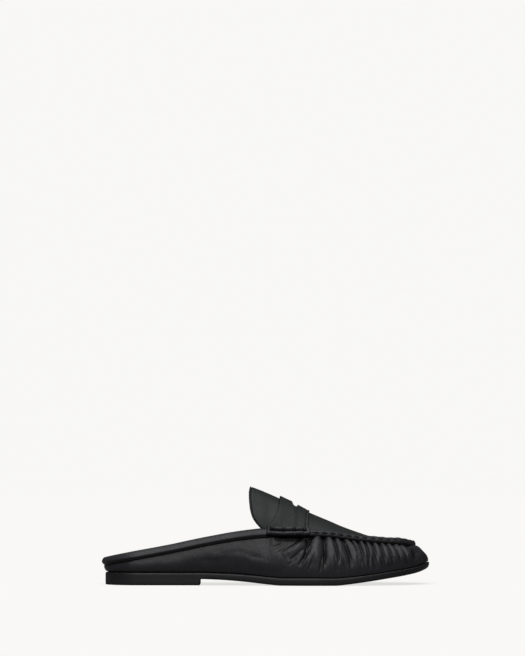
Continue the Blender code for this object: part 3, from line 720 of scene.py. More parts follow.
def make_vamp(shape):
    """The wall of the upper, one closed band round the shoe: pleated in front, smooth at the quarters."""

    def spacing(at):
        return 0.0013 - 0.00088 * eased((at - 0.40) / 0.10)

    at, side = ring(outline_places(spacing))
    base = wall(at, side, np.zeros((len(at), 1)))[:, 0]
    top = wall(at, side, np.ones((len(at), 1)))[:, 0]
    height = (top[:, 2] - base[:, 2])[:, None]
    hem = np.array([0.0, 0.06, 0.16, 0.32, 0.55, 0.85, 1.2]) * MM
    low = hem / height
    start = low[:, -1:] + (1 - low[:, -1:]) * 0.02
    rise = np.concatenate([low, start + (1 - start) * np.linspace(0.0, 1.0, 58)], axis=1)
    face = wall(at, side, rise)
    normal = normals_of(face, True)
    out = outward(at, side)
    if (normal * out[:, None]).sum(-1).mean() < 0:
        normal = -normal
    outer = side < 0
    relief = np.where(
        outer[:, None],
        pleat_heights(face, rise, (1.0,) * len(PLEATS), 0.0, shape.pleat_height),
        pleat_heights(face, rise, INNER_HEIGHTS, INNER_SHIFT, shape.pleat_height),
    )
    creases = np.where(outer[:, None], side_marks(face, side, CREASES, 0.0), side_marks(face, side, CREASES, INNER_SHIFT))
    settle = eased(rise * height / 0.004)
    relief = relief + creases * settle * shape.crease_depth
    x = face[..., 0] / MM
    steps = np.linalg.norm(np.diff(face, axis=1), axis=-1)[:, ::-1]
    from_top = np.concatenate([np.cumsum(steps, axis=1)[:, ::-1], np.zeros((len(at), 1))], axis=1) / MM
    beside = eased((x - 85) / 16) * (1 - eased((x - 117) / 5))
    relief = relief - beside * (1 - eased((from_top - 3.4) / 9.0)) * 0.0017
    # Painted shade: dark bands on the wall just under the strap's roll, along the top of the quarters under the collar,
    # and just under the apron seam.
    shade = eased((x - 85) / 5) * (1 - eased((x - 117) / 5)) * bump(from_top - 3.6 - beside, 1.2 + beside)
    shade = shade + (1 - eased((x - 86) / 4)) * bump(from_top, 0.8)
    shade = shade + eased((x - 118) / 3) * bump(from_top - 3.6, 1.4)
    cap = eased((x - 193) / 7)
    relief = relief + cap * bump(rise - 0.86, 0.26) * 0.0014 + cap * drift(face, 0.0075, 5.0) * 0.0008
    relief = relief + drift(face, 0.011, 3.0) * 0.00022 * settle + drift(face, 0.004, 9.0) * 0.00008 * settle
    radius = shape.hem_radius * (1 - 0.45 * eased((at - 0.30) / 0.30))[:, None]
    lift = np.clip(rise * height / radius, 0.0, 1.0)
    tuck = radius * (1 - np.sqrt(np.maximum(0.0, 1 - (1 - lift) ** 2)))
    relief = np.maximum(relief, -0.0018)
    outside = face + normal * relief[..., None] - out[:, None] * tuck[..., None]
    inner_rise = np.linspace(1.0, 0.0, 13)[None, :] + np.zeros((len(at), 1))
    lining = wall(at, side, inner_rise)
    inward = normals_of(lining, True)
    if (inward * out[:, None]).sum(-1).mean() < 0:
        inward = -inward
    inside = lining - inward * UPPER_WALL
    inside[:, -1, 2] = outside[:, 0, 2]
    loop = np.concatenate([outside, inside, outside[:, :1]], axis=1)
    marks = np.zeros(loop.shape[:2])
    # Painted light: where the wall stands out (pleat ridges, creases) it is painted lighter, where it sinks (valleys,
    # the tuck under the roll) darker, and the painted shade above is taken off.
    marks[:, : rise.shape[1]] = np.clip(1.6 * relief / shape.pleat_height - shade, -1.0, 1.0)
    bm = quilt(loop, marks, lined=rise.shape[1])
    return dressed("vamp", bm, ["polished_calf_leather", "lining_leather"], "creased_leather", "upper")


def make_apron(shape):
    """The apron over the toes: smooth but faintly uneven, the unevenness fading out at its seam, with a wall's
    thickness.
    """
    places = np.concatenate([np.linspace(THROAT, 0.90, 90), 0.90 + (APRON_FRONT - 0.90) * np.sin(np.linspace(0, math.pi / 2, 40))[1:]])
    across = np.sin(np.linspace(-math.pi / 2, math.pi / 2, 91))
    place, side = np.meshgrid(places, across, indexing="ij")
    face = instep(place, side)
    normal = instep_normal(np.minimum(place, APRON_FRONT - 0.006), side * 0.999)
    wave = drift(face, 0.014, 21.0) * 0.00020
    face = face + normal * (wave * (1 - side**2))[..., None]
    bm = quilt(face)
    if sum(one.normal.z * one.calc_area() for one in bm.faces) < 0:
        bmesh.ops.reverse_faces(bm, faces=bm.faces)
    piece = dressed("apron", bm, ["satin_calf_leather"], "smooth_leather", "upper")
    wall_depth = piece.modifiers.new("thickness", "SOLIDIFY")
    wall_depth.thickness = UPPER_WALL
    wall_depth.offset = -1
    wall_depth.use_even_offset = False
    return piece


def instep_sheet(back, front, reach, lift, taper, rows, columns, fine):
    """Points, normals and margins of a bent sheet on the instep between two edges."""
    across = np.sin(math.pi / 2 * (2 * edge_steps(columns, 0.07, fine) - 1) ** 1.0)
    share_along = edge_steps(rows, 0.025, fine)
    a, t = np.meshgrid(across, share_along, indexing="xy")
    place = back(np.abs(a)) + (front(np.abs(a)) - back(np.abs(a))) * t
    angle = np.arcsin(a) * np.arcsin(reach(place)) / (math.pi / 2)
    narrower = taper(place)
    middle = instep(place, np.sin(angle), narrower)
    normal = instep_normal(place, np.sin(angle), narrower)
    middle = middle + normal * lift(place)[..., None]
    steps_a = np.linalg.norm(np.diff(middle, axis=1), axis=-1)
    steps_t = np.linalg.norm(np.diff(middle, axis=0), axis=-1)
    from_a = np.concatenate([np.zeros((len(t), 1)), np.cumsum(steps_a, axis=1)], axis=1)
    from_t = np.concatenate([np.zeros((1, t.shape[1])), np.cumsum(steps_t, axis=0)], axis=0)
    sides = np.minimum(from_a, from_a[:, -1:] - from_a)
    ends = (from_t, from_t[-1:] - from_t)
    return middle, normal, sides, ends


def make_tongue(shape):
    """The tongue: a rounded tab with a turned edge and a sunk stitch line along it."""

    def back(across):
        return TONGUE_BACK + tongue_ahead(1 - np.sqrt(np.maximum(0.0, 1 - across**2)))

    def front(across):
        return THROAT - SHEET_GAP / SOLE_LENGTH + 0 * across

    def reach(place):
        return TONGUE_REACH + 0 * place

    def taper(place):
        return TONGUE_TAPER * eased((THROAT - place) / (THROAT - ROLL_BACK))

    thickness = shape.tongue_thickness

    def lift(place):
        return -thickness / 2 + 0 * place

    middle, normal, sides, ends = instep_sheet(back, front, reach, lift, taper, 90, 110, MM)
    free = ends[0]
    margin = np.minimum(np.minimum(sides, ends[0]), ends[1])
    points = rounded_sheet(middle, normal, margin, thickness, 0.00045)
    rows = len(middle)
    line = bump(free - shape.stitch_inset, 0.00040) * 0.00055
    wave = drift(middle, 0.020, 40.0) * 0.00035 * eased(free / 0.004)
    points[:rows] += normal * (wave - line)[..., None]
    # Painted light: the back face is painted near black as shade, the stitch groove and the rim painted dark as shade,
    # and thin bands just inside the free edge painted as highlights.
    marks = np.full(points.shape[:2], -1.0)
    inked = np.maximum(1.2 * bump(free - shape.stitch_inset, 0.00045), 1 - eased(margin / 0.0003))
    painted_highlight = bump(free - 0.0007, 0.0003) + 0.5 * bump(free - 0.0024, 0.0006)
    marks[:rows] = np.clip(0.9 * painted_highlight - inked, -1.0, 1.0)
    bm = quilt(points, marks)
    return dressed("tongue_tab", bm, ["satin_calf_leather"], "smooth_leather", "tongue")


def strap_reach(place):
    """How far across the instep the strap goes at each place, to lie between its two rolls."""
    across = np.linspace(0.999, 0.5, 400)
    fine = np.linspace(STRAP_BACK - STRAP_FLARE - 0.01, STRAP_FRONT + 0.01, 60)
    edge = instep(fine, 1.0)
    far = np.linalg.norm(instep(fine[:, None], across[None, :]) - edge[:, None], axis=-1)
    found = across[np.argmax(far >= ROLL_WIDTH / 2 - 0.0012, axis=1)]
    return np.interp(place, fine, found)


def make_strap(shape):
    """The saddle strap, wider towards its rolls, with a turned front edge and the slot in its middle."""

    def back(across):
        return STRAP_BACK - 0.0048 - STRAP_FLARE * (1 - np.sqrt(np.maximum(0.0, 1 - across**2))) ** 2.1

    def front(across):
        return STRAP_FRONT - 0.0010 - 0.0050 * across**2

    def lift(place):
        return SHEET_GAP + thickness / 2 - 0.0006 * eased((place - STRAP_BACK - 0.035) / 0.02)

    def taper(place):
        return 0.0 * place

    thickness = shape.strap_thickness
    middle, normal, sides, ends = instep_sheet(back, front, strap_reach, lift, taper, 60, 120, MM)
    margin = np.minimum(np.minimum(sides, ends[0]), ends[1])
    points = rounded_sheet(middle, normal, margin, thickness, 0.0006)
    rows = len(middle)
    line = bump(ends[1] - 0.0021, 0.00035) * 0.00036
    wave = drift(middle, 0.012, 60.0) * 0.00030 * eased(margin / 0.003)
    points[:rows] += normal * (wave - line)[..., None]
    # Painted light: the back face is painted near black as shade, the front groove and the rim painted dark as shade,
    # and a band just behind the front edge painted as a highlight.
    marks = np.full(points.shape[:2], -1.0)
    inked = np.maximum(bump(ends[1] - 0.0021, 0.0004) * 0.7, 1 - eased(margin / 0.0007))
    marks[:rows] = 0.30 * bump(ends[1] - 0.0011, 0.0007) - inked
    bm = quilt(points, marks)
    piece = dressed("strap", bm, ["satin_calf_leather"], "smooth_leather", "saddle_strap")
    cut_slot(piece)
    return piece


def cut_slot(strap):
    """The slot through the strap: a lens across it with a small diamond in its middle."""
    centre = STRAP_BACK + 0.505 * (STRAP_FRONT - STRAP_BACK)
    middle = instep(centre, 0.0)
    outline = []
    for end in (1, -1):
        for i in range(16):
            turn = math.pi * i / 16
            y = end * math.cos(turn) * SLOT_WIDTH / 2
            lens = math.sin(turn) ** 0.8 * SLOT_LENGTH * 0.36
            diamond = max(0.0, SLOT_LENGTH / 2 - abs(y) * 0.7)
            outline.append((-end * max(lens, diamond), y))
    bm = bmesh.new()
    bmesh.ops.create_circle(bm, cap_ends=True, segments=len(outline), radius=1.0)
    bm.verts.ensure_lookup_table()
    for vert, (x, y) in zip(bm.verts, outline):
        vert.co = (middle[0] + x, middle[1] + y, middle[2] - 0.02)
    risen = bmesh.ops.extrude_face_region(bm, geom=list(bm.faces))
    moved = [item for item in risen["geom"] if isinstance(item, bmesh.types.BMVert)]
    bmesh.ops.translate(bm, verts=moved, vec=(0, 0, 0.04))
    bmesh.ops.recalc_face_normals(bm, faces=bm.faces)
    mesh = bpy.data.meshes.new("slot_cutter")
    bm.to_mesh(mesh)
    bm.free()
    cutter = bpy.data.objects.new("slot_cutter", mesh)
    bpy.context.scene.collection.objects.link(cutter)
    cut = strap.modifiers.new("slot", "BOOLEAN")
    cut.operation = "DIFFERENCE"
    cut.solver = "EXACT"
    cut.object = cutter
    bpy.context.view_layer.update()
    cut_mesh = bpy.data.meshes.new_from_object(strap.evaluated_get(bpy.context.evaluated_depsgraph_get()))
    strap.modifiers.clear()
    strap.data = cut_mesh
    strap.data.name = "strap"
    strap.data.set_sharp_from_angle(angle=math.radians(50))
    bpy.data.objects.remove(cutter, do_unlink=True)


def seam_path(first, last_side, spacing):
    """Places on the top edge from one side round the toe, evenly spaced, with their sides; both sides if asked."""
    fine = np.concatenate([np.linspace(first, 0.9, 800), 0.9 + 0.1 * np.sin(np.linspace(0, math.pi / 2, 2400))[1:]])
    edge = instep(top_at(fine), OUTER)
    at = spaced(edge, fine, lambda middle: spacing + 0 * middle)
    if last_side:
        at, side = np.concatenate([at, at[-2::-1]]), np.concatenate([np.full(len(at), OUTER), np.full(len(at) - 1, INNER)])
    else:
        side = np.full(len(at), OUTER)
    return at, side


def edge_frames(at, side, steady):
    """The top edge's points with the directions out of the surface there and up across it."""
    edge = instep(top_at(at), side)
    ahead = unit(np.gradient(edge, axis=0))
    turn = np.where(ahead[:, :1] * side[:1, None] <= 0, 1.0, 1.0)
    level = unit(np.cross(ahead, UP)) * turn
    if (level[len(level) // 2] * outward(at, side)[len(level) // 2]).sum() < 0:
        level = -level
    below = (wall(at, side, np.full((len(at), 1), 0.88)) - wall(at, side, np.ones((len(at), 1))))[:, 0]
    above = over(edge - level * 0.0025) - edge
    across = unit(above) - unit(below)
    out = unit(np.cross(ahead, across))
    out = out * np.where((out * level).sum(-1) < 0, -1.0, 1.0)[:, None]
    kernel = np.hanning(steady)[:, None]
    kernel = kernel / kernel.sum()
    pad = steady // 2
    wide = np.concatenate([np.repeat(out[:1], pad, 0), out, np.repeat(out[-1:], pad, 0)])
    out = unit(np.stack([np.convolve(wide[:, i], kernel[:, 0], mode="valid") for i in range(3)], axis=1))
    up = unit(np.cross(out, ahead))
    up = up * np.where((up * UP).sum(-1) < 0, -1.0, 1.0)[:, None]
    return edge, out, up


def cord(edge, out, up, across, heights, half, seat):
    """A closed strip along an edge: its top by heights over a width, its foot flat."""
    top = edge[:, None] + up[:, None] * (across * half)[None, :, None] + out[:, None] * (seat + heights)[..., None]
    foot = edge[:, None] + up[:, None] * (across[::-1] * half * 0.96)[None, :, None] + out[:, None] * (seat - 0.0012)
    loop = np.concatenate([top, foot, top[:, :1]], axis=1)
    first = np.repeat(loop[:1].mean(1, keepdims=True), loop.shape[1], 1)
    last = np.repeat(loop[-1:].mean(1, keepdims=True), loop.shape[1], 1)
    return np.concatenate([first, loop, last])


def make_seam(shape):
    """The raised apron seam: two lips drawn together by hand stitches, each stitch sunk in its hole."""
    front = under(STRAP_FRONT) - 0.004
    at, side = seam_path(front, True, 0.00042)
    edge, out, up = edge_frames(at, side, 41)
    run = np.concatenate([[0.0], np.cumsum(np.linalg.norm(np.diff(edge, axis=0), axis=1))])
    across = np.sin(np.linspace(-math.pi / 2, math.pi / 2, 27))
    phase = run / shape.seam_pitch
    hole = bump((phase - np.round(phase)) * shape.seam_pitch, 0.00115)
    swell = 1 - 0.035 * np.cos(2 * math.pi * phase)
    arch = np.sqrt(np.maximum(0.0, 1 - np.abs(across) ** 2.0))
    lip = bump(across + 0.42, 0.15)
    front_end = eased((edge[:, 0] / MM - 178) / 12)
    rise = arch[None, :] * swell[:, None] * shape.seam_height * (1 + 0.32 * front_end)[:, None]
    shown = (1 - 0.85 * front_end)[:, None]
    rise = rise - lip[None, :] * (0.00030 + 0.0013 * hole[:, None]) * shown
    rise = rise + drift(edge[:, None] + up[:, None] * (across * 0.002)[None, :, None], 0.005, 70.0) * 0.00014
    rise = np.maximum(rise, 0.0) * (arch[None, :] > 0)
    points = cord(edge, out, up, across, rise, SEAM_WIDTH / 2, SHEET_GAP - 0.0002)
    # Painted light: the upper and lower lips are painted as highlights; the stitch holes and the seam's lower edge are
    # painted dark as shade.
    marks = np.zeros(points.shape[:2])
    top_lip = bump(across - 0.25, 0.5)
    low_lip = bump(across + 0.75, 0.14)
    ridges = 0.7 * top_lip + 0.5 * low_lip - bump(across + 1.0, 0.10)
    marks[1:-1, : len(across)] = ridges - lip * (0.3 + 1.2 * hole[:, None]) * shown
    bm = quilt(points, marks)
    piece = dressed("seam", bm, ["polished_calf_leather"], "creased_leather", "apron_seam")
    stitches = bmesh.new()
    for k in range(1, int(phase[-1])):
        middle = int(np.argmin(np.abs(phase - k)))
        reach = max(2, int(0.0010 / 0.00042))
        a, b = max(middle - reach, 0), min(middle + reach, len(at) - 1)
        if edge[middle, 0] > 0.182:
            continue
        start = edge[a] + up[a] * -0.0018 + out[a] * (SHEET_GAP + shape.seam_height * 0.48)
        centre = edge[middle] + up[middle] * -0.0012 + out[middle] * (SHEET_GAP + shape.seam_height * 0.36)
        end = edge[b] + up[b] * -0.0006 + out[b] * (SHEET_GAP + shape.seam_height * 0.52)
        thread(stitches, [start, centre, end], 0.00028)
    bmesh.ops.recalc_face_normals(stitches, faces=stitches.faces)
    dressed("seam_stitches", stitches, ["waxed_thread"], "creased_leather", "apron_seam")
    return piece


def thread(bm, path, radius):
    """A short stitch: a tube with tapered ends through its points."""
    path = np.array(path)
    steps = 6
    t = np.linspace(0.0, 1.0, steps + 1)
    line = np.stack([np.interp(t, np.linspace(0, 1, len(path)), path[:, i]) for i in range(3)], axis=1)
    ahead = unit(line[-1] - line[0])
    sideways = unit(np.cross(ahead, UP + ahead * 0.001))
    lift = np.cross(sideways, ahead)
    made = bmesh.ops.create_grid(bm, x_segments=steps, y_segments=6, size=0.5)
    for vert in made["verts"]:
        i = round((vert.co.x + 0.5) * steps)
        turn = 2 * math.pi * round((vert.co.y + 0.5) * 6) / 6
        wide = radius * math.sqrt(max(0.0, 1 - abs(2 * t[i] - 1) ** 3))
        vert.co = line[i] + sideways * (math.cos(turn) * wide) + lift * (math.sin(turn) * wide)
    bmesh.ops.remove_doubles(bm, verts=made["verts"], dist=1e-6)


def make_roll(shape, name, side_sign, node):
    """A roll on the strap's end: a long folded ridge that curls up behind, and pillows between stitches."""
    places = np.linspace(under(ROLL_BACK) - 0.004, under(STRAP_FRONT) + 0.001, 150)
    side = np.full(len(places), side_sign)
    edge, out, up = edge_frames(places, side, 15)
    edge = edge + up * 0.0011
    run = np.concatenate([[0.0], np.cumsum(np.linalg.norm(np.diff(edge, axis=0), axis=1))])
    across = np.sin(np.linspace(-math.pi / 2, math.pi / 2, 41))
    s, a = run[:, None] / MM, across[None, :]
    length = run[-1] / MM
    ridge = np.sqrt(np.maximum(0.0, 1 - np.clip(np.abs(a + 0.50) / 0.50, 0.0, 1.0) ** 2.2))
    loop = np.sqrt(np.maximum(0.0, 1 - np.clip(np.abs(s - 1.7) / 1.7, 0.0, 1.0) ** 2.2)) * 0.95
    pinch = sum(bump(s - stitch, 0.95) for stitch in WHIP_STITCHES)
    pillow = np.sqrt(np.maximum(0.0, 1 - np.clip(np.abs(a - 0.47) / 0.50, 0.0, 1.0) ** 2.2))
    pillow = pillow * (0.86 - 0.42 * np.clip(pinch, 0.0, 1.0)) * eased((s - 2.2) / 3.0)
    curl = 1 - 0.12 * np.clip(pinch, 0.0, 1.0)
    band = eased((s - length + 3.4) / 0.7) * np.sqrt(np.maximum(0.0, 1 - np.abs(a) ** 2.6)) * 0.92
    rise = np.maximum(np.maximum(ridge * curl, pillow), np.maximum(band, loop))
    edges = np.sqrt(np.maximum(0.0, 1 - np.abs(a) ** 6))
    ends = round_end(run / MM, 1.2, 2.0) * round_end((length - run / MM), 1.0, 2.0)
    rise = rise * edges * shape.roll_height * ends[:, None]
    rise = rise + drift(edge[:, None] + up[:, None] * (across * 0.004)[None, :, None], 0.006, 80.0) * 0.0003 * ends[:, None]
    rise = np.maximum(rise, 0.0)
    points = cord(edge, out, up, across, rise, ROLL_WIDTH / 2, SHEET_GAP - 0.0002)
    # Painted light: the ridge, the pillows and the rear loop are painted as highlights; the groove, the opening at the
    # back, the dents of the whip stitches, the two ends and the lower edge are painted dark as shade.
    marks = np.zeros(points.shape[:2])
    groove = bump(a + 0.01, 0.10) * eased((s - 3.0) / 1.0) * (1 - eased((s - length + 3.6) / 0.8))
    hole = bump(s - 4.0, 0.9) * bump(a - 0.35, 0.35)
    painted_shade_ends = bump(s - length + 0.2, 0.4) + bump(s, 0.5)
    painted_lights = bump(a + 0.45, 0.34) + 0.9 * bump(a - 0.5, 0.34) * (1 - np.clip(pinch, 0.0, 1.0))
    painted_lights = np.maximum(painted_lights, bump(s - 1.7, 1.1) * bump(a - 0.1, 0.7))
    inked = groove + hole + 0.6 * pinch * bump(a - 0.3, 0.4) + painted_shade_ends + bump(a + 1.0, 0.14)
    marks[1:-1, : len(across)] = np.clip(painted_lights - 1.3 * inked, -1.0, 1.0)
    bm = quilt(points, marks)
    piece = dressed(name, bm, ["polished_calf_leather"], "smooth_leather", node)
    stitches = bmesh.new()
    for stitch in WHIP_STITCHES:
        i = int(np.argmin(np.abs(run / MM - stitch)))
        path = []
        for a in (-0.02, 0.25, 0.55, 0.85):
            j = int(np.argmin(np.abs(across - a)))
            path.append(edge[i] + up[i] * (a * ROLL_WIDTH / 2) + out[i] * (SHEET_GAP + rise[i, j] + 0.0001))
        thread(stitches, path, 0.00045)
    bmesh.ops.recalc_face_normals(stitches, faces=stitches.faces)
    dressed(name + "_stitches", stitches, ["waxed_thread"], "smooth_leather", node)
    return piece


def make_collar(shape):
    """The collar: a turned leather roll on the quarters, with a sunk stitch line near its foot."""
    at = outline_places(lambda middle: 0.0010 + 0 * middle)
    end = ROLL_BACK + 0.004
    at = np.concatenate([at[at < end - 0.002], [end]])
    places = np.concatenate([at[::-1], at[1:]])
    sides = np.concatenate([np.full(len(at), OUTER), np.full(len(at) - 1, INNER)])
    out = outward(places, sides)
    foot = wall(places, sides, np.ones((len(places), 1)))[:, 0]
    turn = np.linspace(-math.pi / 2, 3 * math.pi / 2, 41)[:-1]
    depth = np.sign(np.cos(turn)) * np.abs(np.cos(turn)) ** 0.96
    rise = 0.5 + 0.5 * np.sign(np.sin(turn)) * np.abs(np.sin(turn)) ** 0.96
    sag = 0.0007 * np.clip(depth, 0.0, 1.0) * bump(rise - 0.34, 0.30)
    proud = COLLAR_PROUD + 0.0004 - (COLLAR_THICKNESS + 0.0004) * (0.5 - depth / 2) + sag
    tall = COLLAR_HEIGHT * collar_share(places)
    face = foot[:, None] + out[:, None] * proud[None, :, None]
    face = face + UP * (rise[None, :] * (tall[:, None] + 0.0006) - 0.0004)[..., None]
    outer_face = np.clip(depth, 0.0, 1.0)
    line = bump(rise - 0.27, 0.05) * outer_face * 0.00045
    run = np.concatenate([[0.0], np.cumsum(np.linalg.norm(np.diff(foot, axis=0), axis=1))])
    pucker = np.cos(2 * math.pi * run / 0.0032)[:, None] * bump(rise - 0.30, 0.22)[None, :] * outer_face[None, :] * 0.00006
    wave = drift(face, 0.009, 90.0) * 0.00030
    face = face - out[:, None] * (line[None, :] + pucker)[..., None] + out[:, None] * wave[..., None]
    loop = np.concatenate([face, face[:, :1]], axis=1)
    first = np.repeat(face[:1].mean(1, keepdims=True), loop.shape[1], 1)
    last = np.repeat(face[-1:].mean(1, keepdims=True), loop.shape[1], 1)
    # Painted light: the top of the roll is painted as a highlight; the stitch groove on its outer face and its foot
    # against the wall are painted dark as shade.
    marks = np.zeros((len(loop) + 2, loop.shape[1]))
    marks[1:-1, :-1] = 0.5 * bump(rise - 0.75, 0.3) - 0.9 * bump(rise - 0.27, 0.05) * outer_face - bump(rise, 0.09)
    bm = quilt(np.concatenate([first, loop, last]), marks)
    piece = dressed("collar_roll", bm, ["polished_calf_leather"], "creased_leather", "collar")
    return piece


def sole_loop(at, side, edge_rows, centre_z):
    """Sections of a flat sole from the middle of its underside round the edge to the middle of its top."""
    out = outward(at, side)
    rows = []
    for inset, height in edge_rows:
        point = sole_edge(at, side) - out * inset
        point[..., 2] = height(share(point[..., 0]))
        rows.append(point)
    middle = joined(along(at), BALL_WIDTH * sole_swing(at), 0.0)
    low, high = middle.copy(), middle.copy()
    low[..., 2] = centre_z[0](at)
    high[..., 2] = centre_z[1](at)
    return np.stack([low] + rows + [high], axis=1)


def make_outsole(shape):
    """The outsole: its edge trimmed, with a bevelled feather at the top and a soft lower arris."""

    def level(part):
        return lambda place: underside(place) + part * sole_thick(place) * SOLE_THICKNESS

    at, side = ring(outline_places(lambda middle: 0.0010 + 0 * middle))
    toe = eased((at - 0.90) / 0.10)[:, None]
    out = outward(at, side)
    profile = [
        (6.0, 6.0, 0.000), (1.6, 5.0, 0.004), (0.9, 3.8, 0.012), (0.55, 2.3, 0.040), (0.25, 1.3, 0.11),
        (0.08, 0.65, 0.22), (0.0, 0.25, 0.40), (0.0, 0.0, 0.62), (0.02, 0.02, 0.78), (0.12, 0.12, 0.885),
        (0.34, 0.34, 0.93), (0.62, 0.62, 0.985), (1.1, 1.1, 1.0), (5.0, 5.0, 1.0),
    ]
    rows = []
    heel = 1 - eased((at - HEEL_FRONT) / 0.03)[:, None]
    for inset, toe_inset, part in profile:
        rounded = inset * (1 - heel) if part < 0.6 and inset < 2.0 else inset
        point = sole_edge(at, side) - out * ((rounded * (1 - toe) + toe_inset * toe) * MM)
        place = share(point[..., 0])
        point[..., 2] = underside(place) + part * sole_thick(place) * SOLE_THICKNESS
        rows.append(point)
    middle = joined(along(np.clip(at, 0.03, 0.96)), BALL_WIDTH * sole_swing(at), 0.0)
    low, high = middle.copy(), middle.copy()
    low[..., 2] = level(0.0)(share(middle[..., 0]))
    high[..., 2] = level(1.0)(share(middle[..., 0]))
    points = np.stack([low] + rows + [high], axis=1)
    bm = quilt(points)
    return dressed("sole", bm, ["sole_edge_waxed"], "sole_leather", "outsole")


def make_heel(shape):
    """The heel block: the sole's own outline down to the floor, cut straight at its breast."""
    at = outline_places(lambda middle: 0.0009 + 0 * middle)
    at = np.concatenate([at[at < HEEL_FRONT - 0.003], [HEEL_FRONT]])
    places, sides = np.concatenate([at[::-1], at[1:]]), np.concatenate([np.full(len(at), OUTER), np.full(len(at) - 1, INNER)])
    out = outward(places, sides)
    profile = [(0.85, 0.0), (0.45, 0.03), (0.15, 0.10), (0.02, 0.25), (0.0, 0.6), (0.0, 1.0)]
    rows = []
    for inset, part in profile:
        point = sole_edge(places, sides) - out * (inset * MM)
        point[..., 0] = np.minimum(point[..., 0], along(HEEL_FRONT))
        point[..., 2] = part * underside(places)
        rows.append(point)
    middle = joined(np.maximum(along(places), -HEEL_CENTRE + 0.008), BALL_WIDTH * sole_swing(places), 0.0)
    low, high = middle.copy(), middle.copy()
    high[..., 2] = underside(places)
    points = np.stack([low] + rows + [high], axis=1)
    bm = quilt(points)
    bmesh.ops.holes_fill(bm, edges=bm.edges, sides=0)
    bmesh.ops.recalc_face_normals(bm, faces=bm.faces)
    piece = dressed("heel_block", bm, ["heel_rubber_moulded"], "heel_rubber", "heel")
    piece.data.set_sharp_from_angle(angle=math.radians(60))
    return piece


def make_insole(shape):
    """The footbed: a soft sock with a sunk stitch line near its rim, dished under the heel and the ball of the foot."""
    at = outline_places(lambda middle: 0.0016 + 0 * middle)
    across = np.sin(np.linspace(-math.pi / 2, math.pi / 2, 61))
    place, a = np.meshgrid(at, across, indexing="ij")
    inset = FEATHER_INSET * wall_inset(at) + UPPER_WALL + INSOLE_GAP - 0.0004
    sides = {}
    for side in (OUTER, INNER):
        sides[side] = sole_edge(at, side) - outward(at, side) * inset[:, None]
    face = sides[OUTER][:, None] * ((1 - a) / 2)[..., None] + sides[INNER][:, None] * ((1 + a) / 2)[..., None]
    where = share(face[..., 0])
    thick = INSOLE_THICKNESS + HEEL_PAD * (1 - eased((where - 0.25) / 0.2))
    span = np.linalg.norm(sides[INNER] - sides[OUTER], axis=1)[:, None]
    rim = np.minimum((1 - np.abs(a)) * span / 2, np.minimum(place, 1 - place) * SOLE_LENGTH)
    rim = np.minimum(rim, (1 - np.abs(a)) * span / 2 + 0 * place)
    dish = 0.0010 * bump(where - 0.15, 0.10) * (1 - a**2) + 0.0007 * bump(where - 0.70, 0.13) * (1 - a**2)
    stitch = bump(rim - 0.0045, 0.0004) * 0.00035
    soft = 0.0014 * (1 - np.sqrt(np.maximum(0.0, 1 - (1 - np.clip(rim / 0.0014, 0.0, 1.0)) ** 2)))
    top = face.copy()
    top[..., 2] = sole_top(where) + GAP + thick - dish - stitch - soft
    low = face.copy()
    low[..., 2] = sole_top(where) + 0.0001
    loop = np.concatenate([top, low[:, ::-1], top[:, :1]], axis=1)
    bm = quilt(loop)
    piece = dressed("footbed", bm, ["lining_leather"], "lining_leather", "insole")
    return piece


def make_stage():
    """A plain pale floor under soft light, and the camera level with the shoe's side."""
    scene = bpy.context.scene
    look = scene.loafer_stage
    bm = bmesh.new()
    bmesh.ops.create_circle(bm, cap_ends=True, segments=96, radius=14.0)
    mesh = bpy.data.meshes.new("floor")
    bm.to_mesh(mesh)
    bm.free()
    paper, tree = new_material("white_paper_floor")
    grain = add(
        tree, "ShaderNodeTexNoise", [("Scale", 2500.0), ("Detail", 2.0)],
        [("Vector", add(tree, "ShaderNodeTexCoord").outputs["Object"])],
    )
    fibre = add(
        tree, "ShaderNodeBump", [("Strength", 0.2), ("Distance", 0.00003)], [("Height", grain.outputs["Fac"])],
    )
    seen = add(tree, "ShaderNodeLightPath").outputs["Is Camera Ray"]
    through = add(tree, "ShaderNodeMapRange", [("To Min", 0.0), ("To Max", look.glow)], [("Value", seen)])
    shader = add(
        tree, "ShaderNodeBsdfPrincipled",
        [("Base Color", (*look.floor, 1)), ("Roughness", 0.9), ("Specular IOR Level", 0.0),
         ("Emission Color", (1, 0.994, 0.979, 1))],
        [("Normal", fibre.outputs["Normal"]), ("Emission Strength", through.outputs["Result"])],
    )
    add(tree, "ShaderNodeOutputMaterial", (), [("Surface", shader.outputs["BSDF"])])
    mesh.materials.append(paper)
    floor = bpy.data.objects.new("floor", mesh)
    scene.collection.objects.link(floor)

    world = bpy.data.worlds.new("studio")
    world.use_nodes = True
    tree = world.node_tree
    tree.nodes.clear()
    seen = add(tree, "ShaderNodeLightPath").outputs["Is Camera Ray"]
    level = add(
        tree, "ShaderNodeMapRange", [("To Min", look.sky), ("To Max", look.horizon)], [("Value", seen)],
    )
    glow = add(tree, "ShaderNodeBackground", [("Color", (1, 0.994, 0.979, 1))], [("Strength", level.outputs["Result"])])
    add(tree, "ShaderNodeOutputWorld", (), [("Surface", glow.outputs["Background"])])
    scene.world = world

    soft_light("overhead", look.overhead, 60, (4, 0))
    soft_light("front", look.front, 50, (48, -12))

    lens = bpy.data.cameras.new("camera")
    lens.lens = 178.9
    lens.sensor_width = 36.0
    lens.shift_y = 0.32
    lens.clip_end = 60.0
    camera = bpy.data.objects.new("camera", lens)
    pitch = math.radians(look.pitch)
    camera.location = (0.0839, -2.5 * math.cos(pitch), 0.0355 + 2.5 * math.sin(pitch))
    camera.rotation_euler = Euler((math.pi / 2 - pitch, 0, 0))
    scene.collection.objects.link(camera)
    scene.camera = camera
    scene.view_settings.view_transform = "Standard"


